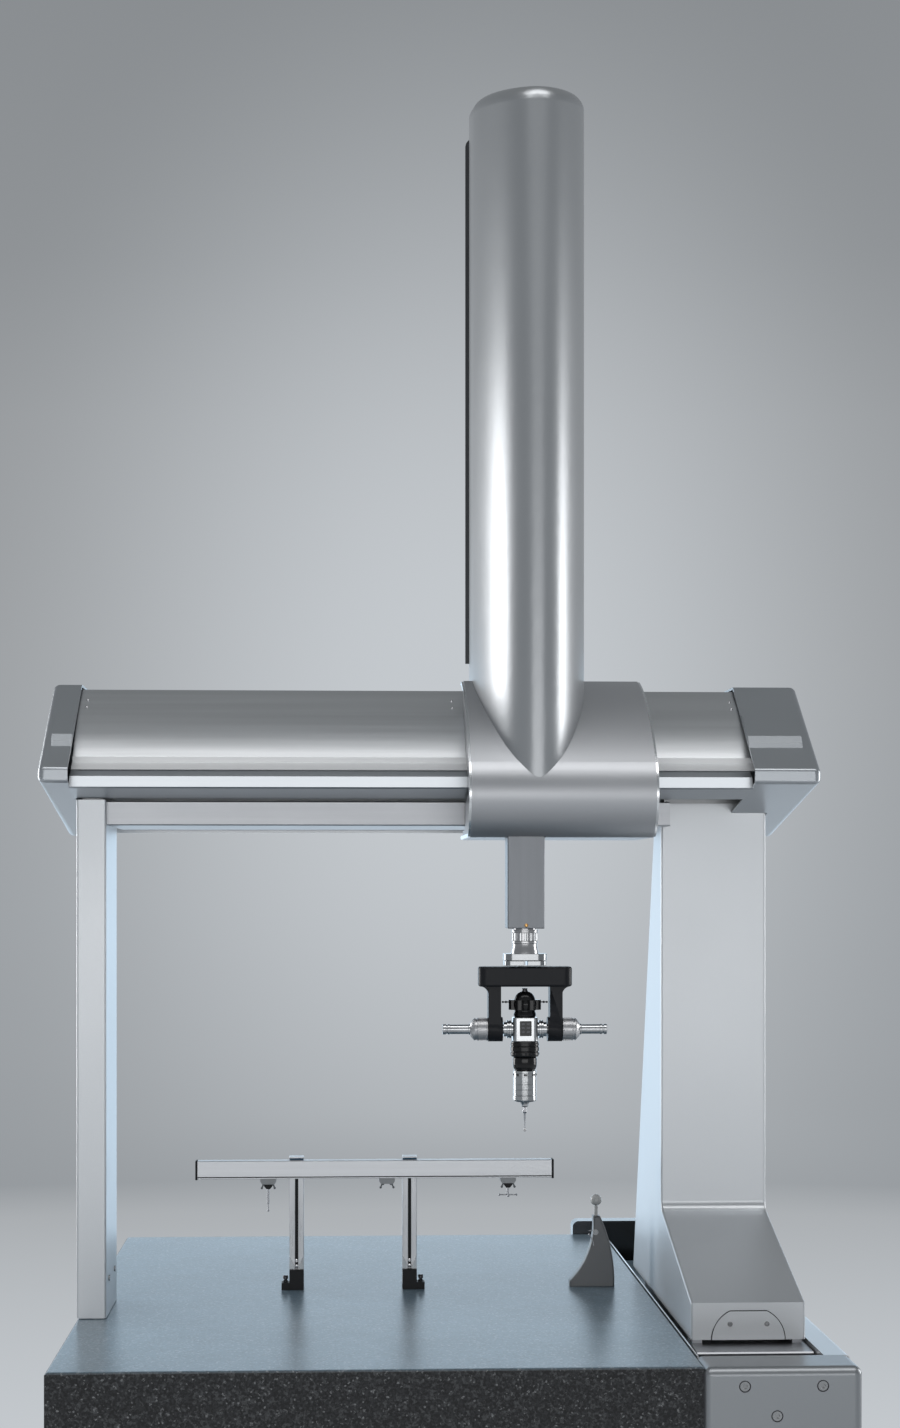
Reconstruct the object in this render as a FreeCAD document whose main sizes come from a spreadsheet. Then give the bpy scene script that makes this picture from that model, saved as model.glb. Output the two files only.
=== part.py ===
import FreeCAD, Part
import math
import os
import re
import Sketcher

# Bridge coordinate measuring machine. Millimetres, +Z up, +X to the right, +Y away from the operator.
# The origin is on the floor below the middle of the machine. Most heights are counted from the table top.

Vector = FreeCAD.Vector

# Driving sizes
SIZES = {
    # Granite table and stand
    "table_top": 860,
    "granite_left": -460,
    "granite_width": 770,
    "granite_front": -561,
    "granite_length": 1086,
    "granite_thickness": 190,
    "granite_chamfer": 3,
    "stand_inset": 60,
    "stand_post": 80,
    "stand_rail_height": 60,
    "stand_low_rail": 110,
    "pad_radius": 45,
    "pad_height": 30,
    "foot_radius": 42,
    "foot_disc": 16,
    "foot_height": 46,
    "foot_stud_radius": 10,
    # Guide of the bridge along the right side of the table
    "guide_width": 88,
    "guide_height": 100,
    "guide_drop": 40,
    "guide_end_inset": 46,
    "cover_width": 185,
    "cover_height": 200,
    "cover_wall": 3,
    "strip_width": 32,
    "trim_width": 2,
    "trim_height": 25,
    "cap_front_wall": 8,
    "cap_overhang": 8,
    "cap_depth": 73,
    "cap_wall": 4,
    "cap_round": 10,
    "cap_screw_radius": 6.5,
    "cap_screw_side": 46,
    "cap_screw_drop": 22,
    "cap_centre_screw_drop": 57,
    "rear_cap_depth": 44,
    "rear_cap_rise": 21,
    "rear_cap_overlap": 50,
    "rear_cap_wall": 4,
    "air_gap": 0.05,
    "seat_gap": 0.3,
    "pad_disc_radius": 30,
    "pad_disc_thick": 12,
    # Bridge legs
    "left_leg_width": 38.5,
    "left_leg_depth": 150,
    "left_leg_front": -215,
    "leg_top": 676,
    "leg_wall": 3,
    "leg_gap": 1,
    "right_leg_width": 143,
    "right_leg_side_gap": 7.7,
    "right_leg_front": -116,
    "right_leg_depth": 62,
    "foot_front": -394,
    "foot_back": 195,
    "foot_face_height": 46,
    "fold_height": 126,
    "fold_round": 14,
    "foot_plate_reach": 53,
    "foot_plate_drop": 5.5,
    "foot_plate_thick": 3.5,
    "access_width": 92,
    "access_height": 36,
    "access_thick": 1.5,
    "carriage_front": -380,
    "carriage_back": 150,
    "carriage_wall": 26,
    # Beam
    "beam_left_overhang": 40,
    "beam_right_overhang": 39.3,
    "left_cap_width": 38,
    "right_cap_width": 86,
    "beam_lip_y": -289,
    "beam_lip_z": 690,
    "beam_edge_y": -121,
    "beam_edge_z": 827,
    "beam_rear_y": 47,
    "beam_bottom_z": 643,
    "beam_sheet": 2.4,
    "core_front": -185,
    "core_back": -45,
    "core_bottom": 692,
    "core_top": 800,
    "box_front": -205,
    "box_top": 675,
    # Carriage and column
    "carriage_offset": 237,
    "carriage_width": 231.5,
    "cover_nose": -376,
    "cover_back": -159,
    "cover_top": 836,
    "cover_bottom": 625,
    "cover_skin": 3,
    "hood_top_run": 200,
    "hood_radius": 380,
    "nose_round": 60,
    "nose_set": 13,
    "nose_drop": 117,
    "belly_set": 36,
    "cover_trim": 3,
    "saddle_width": 200,
    "saddle_top": 836,
    "column_set": 31.3,
    "column_half_width": 73,
    "column_ellipse": 195,
    "column_wide_y": -179,
    "column_flank": 80,
    "column_top": 1626,
    "column_fall": 64,
    "column_round": 20,
    "column_wall": 2.4,
    "rear_plate_drop": 46,
    # Ram
    "ram_set": 13.8,
    "ram_y": -316,
    "ram_width": 47,
    "ram_depth": 48,
    "ram_bottom": 510,
    "ram_length": 790,
    "ram_wall": 5,
    "guide_block_height": 40,
    "lower_block_z": 640,
    "upper_block_z": 850,
    "block_gap": 3,
    # Counterbalance and head
    "balance_radius": 15,
    "balance_wall": 1.5,
    "balance_length": 400,
    "balance_piston_z": 1025,
    "rod_radius": 5,
    "yoke_width": 119,
    "yoke_depth": 34,
    "adapter_height": 48.4,
    "yoke_bar": 25.3,
    "yoke_arm": 16,
    "arm_inset": 12.5,
    "boss_step": 2.5,
    "tilt_drop": 79.6,
    "knob_gap": 2.3,
    "boss_radius": 15.5,
    "side_housing_radius": 14.5,
    "side_span": 105,
    "block_width": 31.5,
    "probe_radius": 15,
    "probe_reach": 92,
    "stylus_radius": 2,
    "ball_radius": 2,
    "stylus_reach": 38,
    # Stylus rack and reference sphere
    "rack_y": -4,
    "rack_left": -315,
    "rack_length": 493,
    "rack_bottom": 157,
    "rack_height": 25,
    "rack_depth": 20,
    "post_width": 20,
    "post_left": -178,
    "post_right": -20,
    "sphere_inset": 66.2,
    "sphere_y": 21,
    "sphere_z": 121,
    "sphere_radius": 7.94,
    "horn_height": 99,
    "horn_width": 63,
    "horn_thick": 22,
    # Drives
    "shaft_radius": 4,
    "running_gap": 0.05,
    "wheel_radius": 20,
    "wheel_width": 17,
    "motor_radius": 18,
    "bridge_motor_y": -115,
    "carriage_motor_top": 781,
    "ram_motor_z": 930,
    "motor_length": 40,
}

# Places that follow from the sizes
DERIVED = {
    "beam_left": "=granite_left - beam_left_overhang",
    "beam_right": "=granite_left + granite_width + right_leg_side_gap + right_leg_width + beam_right_overhang",
    "carriage_centre": "=granite_left + granite_width / 2 + carriage_offset",
    "column_x": "=carriage_centre - column_set",
    "ram_x": "=column_x - ram_set",
    "ram_top": "=ram_bottom + ram_length",
    "yoke_top": "=ram_bottom - adapter_height",
    "tilt_height": "=yoke_top - tilt_drop",
    "knob_height": "=tilt_drop - yoke_bar - 15 - knob_gap",
    "probe_bottom": "=tilt_height - probe_reach",
    "stylus_tip": "=probe_bottom - stylus_reach",
    "sphere_x": "=granite_left + granite_width - sphere_inset",
}

doc = FreeCAD.newDocument("measuring_machine")
sheet = doc.addObject("Spreadsheet::Sheet", "Sizes")
NAMES = {**SIZES, **DERIVED}
for row, (alias, value) in enumerate(NAMES.items(), start=1):
    sheet.set("A%d" % row, alias)
    sheet.set("B%d" % row, str(value))
    sheet.setAlias("B%d" % row, alias)
doc.recompute()

PARTS = []
FASTENERS = {"base_screws": [], "bridge_screws": []}
EPS = 1e-4


def num(expression):
    """Value of an expression that is written with the sheet's names."""
    return float(sheet.evalExpression(str(expression)))


def bound(expression):
    """The same expression with each name pointing at the sheet."""
    def link(match):
        return "Sizes." + match.group() if match.group() in NAMES else match.group()
    return re.sub(r"[a-z_]+", link, str(expression))


def bind(item, name, expression):
    item.setExpression(name, bound(expression))


def place(item, x="0", y="0", z="table_top"):
    """Put an object at a point that follows the sheet."""
    for axis, expression in zip("xyz", (x, y, z)):
        bind(item, "Placement.Base." + axis, expression)


def keep(item, label):
    item.Label = label
    PARTS.append(item)
    return item


def new_body(label, at=("0", "0", "table_top")):
    body = doc.addObject("PartDesign::Body", "Body_" + label)
    place(body, *at)
    return keep(body, label)


def draw(body, plane, offset, outlines=(), circles=()):
    """Sketch closed outlines and circles on one of the body's planes.

    An outline's corner is (u, v) or (u, v, radius): the radius bends the side that leaves the corner,
    positive with its centre on the left of the way along the outline.
    """
    sketch = body.newObject("Sketcher::SketchObject", "Sketch_" + body.Name[5:])
    base = [feature for feature in body.Origin.OriginFeatures if feature.Role == plane + "_Plane"][0]
    sketch.AttachmentSupport = [(base, "")]
    sketch.MapMode = "FlatFace"
    bind(sketch, "AttachmentOffset.Base.z", offset)
    count = 0
    for outline in outlines:
        corners = [Vector(num(corner[0]), num(corner[1]), 0) for corner in outline]
        total = len(corners)
        ends = []
        for index, corner in enumerate(outline):
            start, end = corners[index], corners[(index + 1) % total]
            if len(corner) == 2:
                sketch.addGeometry(Part.LineSegment(start, end), False)
                ends.append((1, 2))
                continue
            radius = num(corner[2])
            chord = end - start
            side = 1 if radius > 0 else -1
            reach = math.sqrt(max(radius ** 2 - (chord.Length / 2) ** 2, 0))
            normal = Vector(-chord.y, chord.x, 0).normalize() * side
            centre = (start + end) * 0.5 + normal * reach
            first, last = (start, end) if side > 0 else (end, start)
            angles = [math.atan2(point.y - centre.y, point.x - centre.x) for point in (first, last)]
            if angles[1] < angles[0]:
                angles[1] += 2 * math.pi
            circle = Part.Circle(centre, Vector(0, 0, 1), abs(radius))
            sketch.addGeometry(Part.ArcOfCircle(circle, angles[0], angles[1]), False)
            ends.append((1, 2) if side > 0 else (2, 1))
        for index, corner in enumerate(outline):
            here, after = count + index, count + (index + 1) % total
            sketch.addConstraint(Sketcher.Constraint(
                "Coincident", here, ends[index][1], after, ends[(index + 1) % total][0]))
            for letter, kind, expression in (("u", "DistanceX", corner[0]), ("v", "DistanceY", corner[1])):
                number = sketch.addConstraint(Sketcher.Constraint(
                    kind, -1, 1, here, ends[index][0], num(expression)))
                name = "%s%d" % (letter, here)
                sketch.renameConstraint(number, name)
                bind(sketch, "Constraints." + name, expression)
            if len(corner) == 3:
                size = "abs(%s)" % corner[2]
                number = sketch.addConstraint(Sketcher.Constraint("Radius", here, abs(num(corner[2]))))
                sketch.renameConstraint(number, "r%d" % here)
                bind(sketch, "Constraints.r%d" % here, size)
        count += total
    for u, v, radius in circles:
        circle = Part.Circle(Vector(num(u), num(v), 0), Vector(0, 0, 1), num(radius))
        sketch.addGeometry(circle, False)
        rows = (("cu", "DistanceX", u), ("cv", "DistanceY", v), ("cr", "Radius", radius))
        for letter, kind, expression in rows:
            if kind == "Radius":
                constraint = Sketcher.Constraint(kind, count, num(expression))
            else:
                constraint = Sketcher.Constraint(kind, -1, 1, count, 3, num(expression))
            number = sketch.addConstraint(constraint)
            sketch.renameConstraint(number, "%s%d" % (letter, count))
            bind(sketch, "Constraints.%s%d" % (letter, count), expression)
        count += 1
    return sketch


def pad(body, plane, low, high, outlines=(), circles=()):
    """Solid between two planes. The XZ plane looks along -Y, so it starts from the far side."""
    start = "-(%s)" % high if plane == "XZ" else low
    sketch = draw(body, plane, start, outlines, circles)
    feature = body.newObject("PartDesign::Pad", "Pad_" + body.Name[5:])
    feature.Profile = sketch
    bind(feature, "Length", "(%s) - (%s)" % (high, low))
    return feature


def pocket(body, plane, low, high, outlines=(), circles=()):
    """Hollow between two planes. It is cut against the plane's normal, so it starts from the other side."""
    start = "-(%s)" % low if plane == "XZ" else high
    sketch = draw(body, plane, start, outlines, circles)
    doc.recompute()
    before = body.Shape.Volume
    feature = body.newObject("PartDesign::Pocket", "Pocket_" + body.Name[5:])
    feature.Profile = sketch
    bind(feature, "Length", "(%s) - (%s)" % (high, low))
    doc.recompute()
    if not body.Shape.Volume < before - EPS:
        raise RuntimeError(body.Label + ": a pocket cuts nothing")
    return feature


def revolve(body, outline, cut=False):
    """Turn an outline of (radius, height) corners about the body's own Z axis."""
    sketch = draw(body, "XZ", "0", [outline])
    kind = "PartDesign::Groove" if cut else "PartDesign::Revolution"
    feature = body.newObject(kind, "Turn_" + body.Name[5:])
    feature.Profile = sketch
    feature.ReferenceAxis = (sketch, ["V_Axis"])
    feature.Angle = 360
    return feature


def dress(body, kind, size, choose):
    """Fillet or chamfer the edges of the body's last feature that choose() picks."""
    doc.recompute()
    base = body.Tip
    names = ["Edge%d" % (index + 1) for index, edge in enumerate(base.Shape.Edges) if choose(edge)]
    if not names:
        raise RuntimeError(body.Label + ": no edge to dress")
    feature = body.newObject("PartDesign::" + kind, kind + "_" + body.Name[5:])
    feature.Base = (base, names)
    bind(feature, "Radius" if kind == "Fillet" else "Size", size)
    doc.recompute()
    return feature


def rect(u0, v0, u1, v1):
    return [(u0, v0), (u1, v0), (u1, v1), (u0, v1)]


def along(axis, edge):
    """True for a straight edge along a named axis."""
    if not isinstance(edge.Curve, Part.Line):
        return False
    direction = edge.Vertexes[0].Point - edge.Vertexes[-1].Point
    return abs(abs(getattr(direction, axis)) - direction.Length) < 1e-5


def at(value, axis, edge):
    """True for an edge that lies wholly in the plane axis = value."""
    return all(abs(getattr(vertex.Point, axis) - num(value)) < 1e-3 for vertex in edge.Vertexes)


def box(u, v, w):
    """Box shape from three (low, high) pairs of expressions."""
    low = Vector(num(u[0]), num(v[0]), num(w[0]))
    high = Vector(num(u[1]), num(v[1]), num(w[1]))
    return Part.makeBox(high.x - low.x, high.y - low.y, high.z - low.z, low)


def rod(x, y, z, radius, length, direction):
    return Part.makeCylinder(num(radius), num(length), Vector(num(x), num(y), num(z)), Vector(*direction))


def lathe(profile, at_point, direction):
    """Turned shape from (radius, distance) corners along a direction."""
    points = [Vector(num(radius), 0, num(distance)) for radius, distance in profile]
    face = Part.Face(Part.makePolygon(points + points[:1]))
    shape = face.revolve(Vector(0, 0, 0), Vector(0, 0, 1), 360)
    turn = FreeCAD.Rotation(Vector(0, 0, 1), Vector(*direction))
    shape.Placement = FreeCAD.Placement(Vector(*[num(value) for value in at_point]), turn)
    return shape


def group(label, shapes, at=("0", "0", "table_top")):
    """Several separate solids of one kind in one part."""
    item = doc.addObject("Part::Feature", "Group_" + label)
    item.Shape = Part.makeCompound(shapes)
    place(item, *at)
    return keep(item, label)



def gather(label, *items):
    """Several pieces of one kind, kept as separate solids in one part."""
    compound = doc.addObject("Part::Compound", "Set_" + label)
    compound.Links = list(items)
    for item in items:
        PARTS.remove(item)
        item.Label = item.Label + "_piece"
    return keep(compound, label)


# Named places that follow from the sizes
GRANITE_RIGHT = "(granite_left + granite_width)"
GRANITE_REAR = "(granite_front + granite_length)"
COVER_LEFT = GRANITE_RIGHT
COVER_RIGHT = "(granite_left + granite_width + cover_width)"
CAP_FRONT = "(granite_front - cap_overhang)"
CAP_BACK = "(granite_front - cap_overhang + cap_depth)"
REAR_CAP_BACK = "(granite_front + granite_length + rear_cap_depth)"
STAND_TOP = "(-granite_thickness - pad_height)"
FLOOR = "(-table_top)"
GUIDE_TOP = "(-guide_drop)"
GUIDE_BOTTOM = "(-guide_drop - guide_height)"
GUIDE_RIGHT = "(granite_left + granite_width + guide_width)"
SLOT_RIGHT = "(granite_left + granite_width + cover_width - strip_width)"


def build_stand():
    """Welded stand in its separate tubes, levelling feet and isolation pads."""
    left, right = "(granite_left + stand_inset)", "(granite_left + granite_width - stand_inset)"
    front = "(granite_front + stand_inset)"
    rear = "(granite_front + granite_length - stand_inset)"
    lowest = "(foot_height - table_top)"
    posts = []
    for x in ((left, left + " + stand_post"), (right + " - stand_post", right)):
        for y in ((front, front + " + stand_post"), (rear + " - stand_post", rear)):
            posts.append(box(x, y, (lowest, STAND_TOP)))
    posts = [post.makeChamfer(4, [edge for edge in post.Edges if along("z", edge)]) for post in posts]
    levels = (STAND_TOP + " - stand_rail_height", "stand_low_rail + foot_height - table_top")
    rails = []
    for level in levels:
        height = (level, level + " + stand_rail_height")
        for x in (left, right + " - stand_post"):
            rails.append(box((x, x + " + stand_post"), (front + " + stand_post", rear + " - stand_post"), height))
        for y in (front, rear + " - stand_post"):
            rails.append(box((left + " + stand_post", right + " - stand_post"), (y, y + " + stand_post"), height))
    group("stand_frame", posts + rails)
    feet = []
    profile = [(0, 0), ("foot_radius", 0), ("foot_radius", "foot_disc / 2"), ("foot_stud_radius + 8", "foot_disc"),
               ("foot_stud_radius", "foot_disc"), ("foot_stud_radius", "foot_height - 8"),
               ("foot_stud_radius + 7", "foot_height - 8"), ("foot_stud_radius + 7", "foot_height"),
               (0, "foot_height")]
    for x in (left + " + stand_post / 2", right + " - stand_post / 2"):
        for y in (front + " + stand_post / 2", rear + " - stand_post / 2"):
            feet.append(lathe(profile, (x, y, FLOOR), (0, 0, 1)))
    group("levelling_feet", feet)
    seats = [(left + " + stand_post / 2", front + " + stand_post / 2"),
             (right + " - stand_post / 2", front + " + stand_post / 2"),
             ("granite_left + granite_width / 2", rear + " - stand_post / 2")]
    group("isolation_pads", [rod(x, y, STAND_TOP, "pad_radius - 8", "pad_height", (0, 0, 1)) for x, y in seats])


def build_table():
    """Granite table with its bright edge strip and the guide of the bridge."""
    table = new_body("granite_table")
    pad(table, "XY", "-granite_thickness", "0",
        [rect("granite_left", "granite_front", GRANITE_RIGHT, GRANITE_REAR)])
    dress(table, "Chamfer", "granite_chamfer", lambda edge: at("0", "z", edge) or at("-granite_thickness", "z", edge))
    trim = new_body("table_edge_strip")
    pad(trim, "XY", "-trim_height", "0", [rect(
        GRANITE_RIGHT, CAP_BACK, GRANITE_RIGHT + " + trim_width", GRANITE_REAR)])
    guide = new_body("bridge_guide_rail")
    ends = (CAP_FRONT + " + guide_end_inset + cap_overhang", GRANITE_REAR + " - guide_end_inset / 2")
    pad(guide, "XZ", ends[0], ends[1], [rect(GRANITE_RIGHT, GUIDE_BOTTOM, GUIDE_RIGHT, GUIDE_TOP)])
    dress(guide, "Chamfer", "granite_chamfer", lambda edge: along("y", edge) and at(GUIDE_RIGHT, "x", edge))
    scale = new_body("bridge_scale")
    pad(scale, "XZ", ends[0] + " + 10", ends[1] + " - 10", [rect(
        GUIDE_RIGHT, GUIDE_BOTTOM + " + 8", GUIDE_RIGHT + " + 1", GUIDE_BOTTOM + " + 20")])
    gather("guide_strips", trim, scale)
    bumpers = []
    for y, way in ((ends[0], 1), (ends[1], -1)):
        x, z = GUIDE_RIGHT + " - 12", GUIDE_BOTTOM + " - 18"
        plate = box((x, x + " + 12"), (y + " - 3", y + " + 3"), (GUIDE_BOTTOM + " - 30", GUIDE_BOTTOM))
        buffer = rod(x + " + 6", y + " + 3 * %d" % way, z, 6, 8, (0, way, 0))
        bumpers.append(plate.fuse(buffer))
    group("bridge_end_buffers", bumpers)


def build_guide_cover():
    """Sheet channel along the right side, its front cap and the rear housing."""
    cover = new_body("guide_cover")
    wall = "cover_wall"
    bottom, right = "-cover_height", COVER_RIGHT
    profile = [(COVER_LEFT, bottom), (right, bottom), (right, "0"), (SLOT_RIGHT, "0"),
               (SLOT_RIGHT, "-14"), (SLOT_RIGHT + " + " + wall, "-14"), (SLOT_RIGHT + " + " + wall, "-" + wall),
               (right + " - " + wall, "-" + wall), (right + " - " + wall, bottom + " + " + wall),
               (COVER_LEFT + " + " + wall, bottom + " + " + wall),
               (COVER_LEFT + " + " + wall, bottom + " + 34"), (COVER_LEFT, bottom + " + 34")]
    pad(cover, "XZ", CAP_BACK, GRANITE_REAR, [profile])
    dress(cover, "Fillet", "cover_wall * 2", lambda edge: along("y", edge) and at(right, "x", edge))

    cap = new_body("guide_front_cap")
    pad(cap, "XZ", CAP_FRONT, CAP_BACK, [rect(COVER_LEFT + " - trim_width", bottom, right, "0")])
    dress(cap, "Fillet", "cap_round", lambda edge: at(CAP_FRONT, "y", edge)
          or (along("y", edge) and at("0", "z", edge)) or (along("y", edge) and at(right, "x", edge)))
    pocket(cap, "XZ", CAP_FRONT + " + cap_front_wall", GRANITE_REAR, [rect(
        COVER_LEFT, bottom + " + cap_wall", right + " - cap_wall", "-cap_wall")])
    pocket(cap, "XZ", "granite_front", GRANITE_REAR, [rect(
        COVER_LEFT + " - 2 * trim_width", bottom + " - 1", COVER_LEFT, "1")])
    centre = "(granite_left + granite_width + (cover_width - trim_width) / 2)"
    spots = [(centre + " - cap_screw_side", "-cap_screw_drop"), (centre + " + cap_screw_side", "-cap_screw_drop"),
             (centre + " - 8", "-cap_centre_screw_drop"),
             (centre + " - cap_screw_side", bottom + " + cap_screw_drop"),
             (centre + " + cap_screw_side", bottom + " + cap_screw_drop")]
    pocket(cap, "XZ", CAP_FRONT + " - 1", CAP_FRONT + " + cap_front_wall - 3",
           circles=[(x, z, "cap_screw_radius + 0.6") for x, z in spots])
    pocket(cap, "XZ", CAP_FRONT, CAP_FRONT + " + cap_front_wall + 1",
           circles=[(x, z, "cap_screw_radius / 2 + 0.3") for x, z in spots])

    bracket = new_body("cap_mounting_plate")
    face = CAP_FRONT + " + cap_front_wall"
    pad(bracket, "XZ", face, face + " + 6", [rect(
        COVER_LEFT + " + 8", bottom + " + 8", right + " - 8", "-12")])
    pad(bracket, "XZ", face + " + 6", "granite_front + 40", [rect(
        COVER_LEFT + " + 8", bottom + " + 40", COVER_LEFT + " + 14", "-70")])
    pad(bracket, "YZ", COVER_LEFT, COVER_LEFT + " + 8", [rect(
        "granite_front + 6", bottom + " + 60", "granite_front + 34", "-90")])
    screws = []
    for x, z in spots:
        head = rod(x, CAP_FRONT + " + cap_front_wall - 3", z, "cap_screw_radius", 4.4, (0, -1, 0))
        socket = Part.makeCylinder(3.2, 3, Vector(num(x), num(CAP_FRONT) + num("cap_front_wall") - 7.4, num(z)),
                                   Vector(0, 1, 0))
        shank = rod(x, CAP_FRONT + " + cap_front_wall - 3", z, "cap_screw_radius / 2", 3, (0, 1, 0))
        screws.append(head.cut(socket).fuse(shank))
    FASTENERS["base_screws"].extend(screws)

    rear = new_body("guide_rear_housing")
    left = GRANITE_RIGHT + " - rear_cap_overlap"
    pad(rear, "XZ", GRANITE_REAR, REAR_CAP_BACK, [rect(left, bottom, right, "rear_cap_rise")])
    dress(rear, "Fillet", "cap_round", lambda edge: at(REAR_CAP_BACK, "y", edge) or (
        along("y", edge) and not at(bottom, "z", edge)))
    pocket(rear, "XZ", GRANITE_REAR + " - 1", REAR_CAP_BACK + " - rear_cap_wall", [rect(
        COVER_LEFT + " + 1", bottom + " + rear_cap_wall", right + " - rear_cap_wall", "rear_cap_rise - rear_cap_wall")])


# Bridge legs and carriage
LEFT_IN = "(granite_left + left_leg_width)"
RIGHT_LEG_LEFT = "(granite_left + granite_width + right_leg_side_gap)"
RIGHT_LEG_RIGHT = "(granite_left + granite_width + right_leg_side_gap + right_leg_width)"
CARRIAGE_SIDE = "(granite_left + granite_width + guide_width + pad_disc_thick + air_gap)"
BRIDGE_WHEEL = (CARRIAGE_SIDE, "bridge_motor_y", "(-guide_drop - guide_height - wheel_radius - air_gap)")
LEFT_BACK = "(left_leg_front + left_leg_depth)"
RIGHT_BACK = "(right_leg_front + right_leg_depth)"


def build_left_leg():
    """Tube-shaped leg cover, the post inside it and the air pad that runs on the table."""
    leg = new_body("left_leg_cover")
    outer = rect("granite_left", "left_leg_front", LEFT_IN, LEFT_BACK)
    inner = rect("granite_left + leg_wall", "left_leg_front + leg_wall", LEFT_IN + " - leg_wall", LEFT_BACK + " - leg_wall")
    pad(leg, "XY", "leg_gap", "leg_top", [outer])
    dress(leg, "Fillet", "leg_wall", lambda edge: along("z", edge))
    pocket(leg, "XY", "0", "leg_top + 1", [inner])
    post = new_body("left_leg_post")
    pad(post, "XY", "pad_disc_thick + air_gap", "core_bottom", [rect(
        "granite_left + leg_wall + seat_gap", "left_leg_front + 20",
        LEFT_IN + " - leg_wall - seat_gap", LEFT_BACK + " - 12")])
    dress(post, "Chamfer", "3", lambda edge: along("z", edge))
    foot = new_body("left_leg_air_pad")
    pad(foot, "XY", "air_gap", "pad_disc_thick + air_gap", [rect(
        "granite_left + leg_wall + 2", "left_leg_front + 16", LEFT_IN + " - leg_wall - 2", LEFT_BACK + " - 8")])
    dress(foot, "Chamfer", "2", lambda edge: at("pad_disc_thick + air_gap", "z", edge))
    screws = []
    for y in ("left_leg_front + 36", LEFT_BACK + " - 36"):
        screws.append(rod(LEFT_IN, y, "48", "4", "1.6", (1, 0, 0)))
    FASTENERS["bridge_screws"].extend(screws)
    return post, foot


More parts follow.
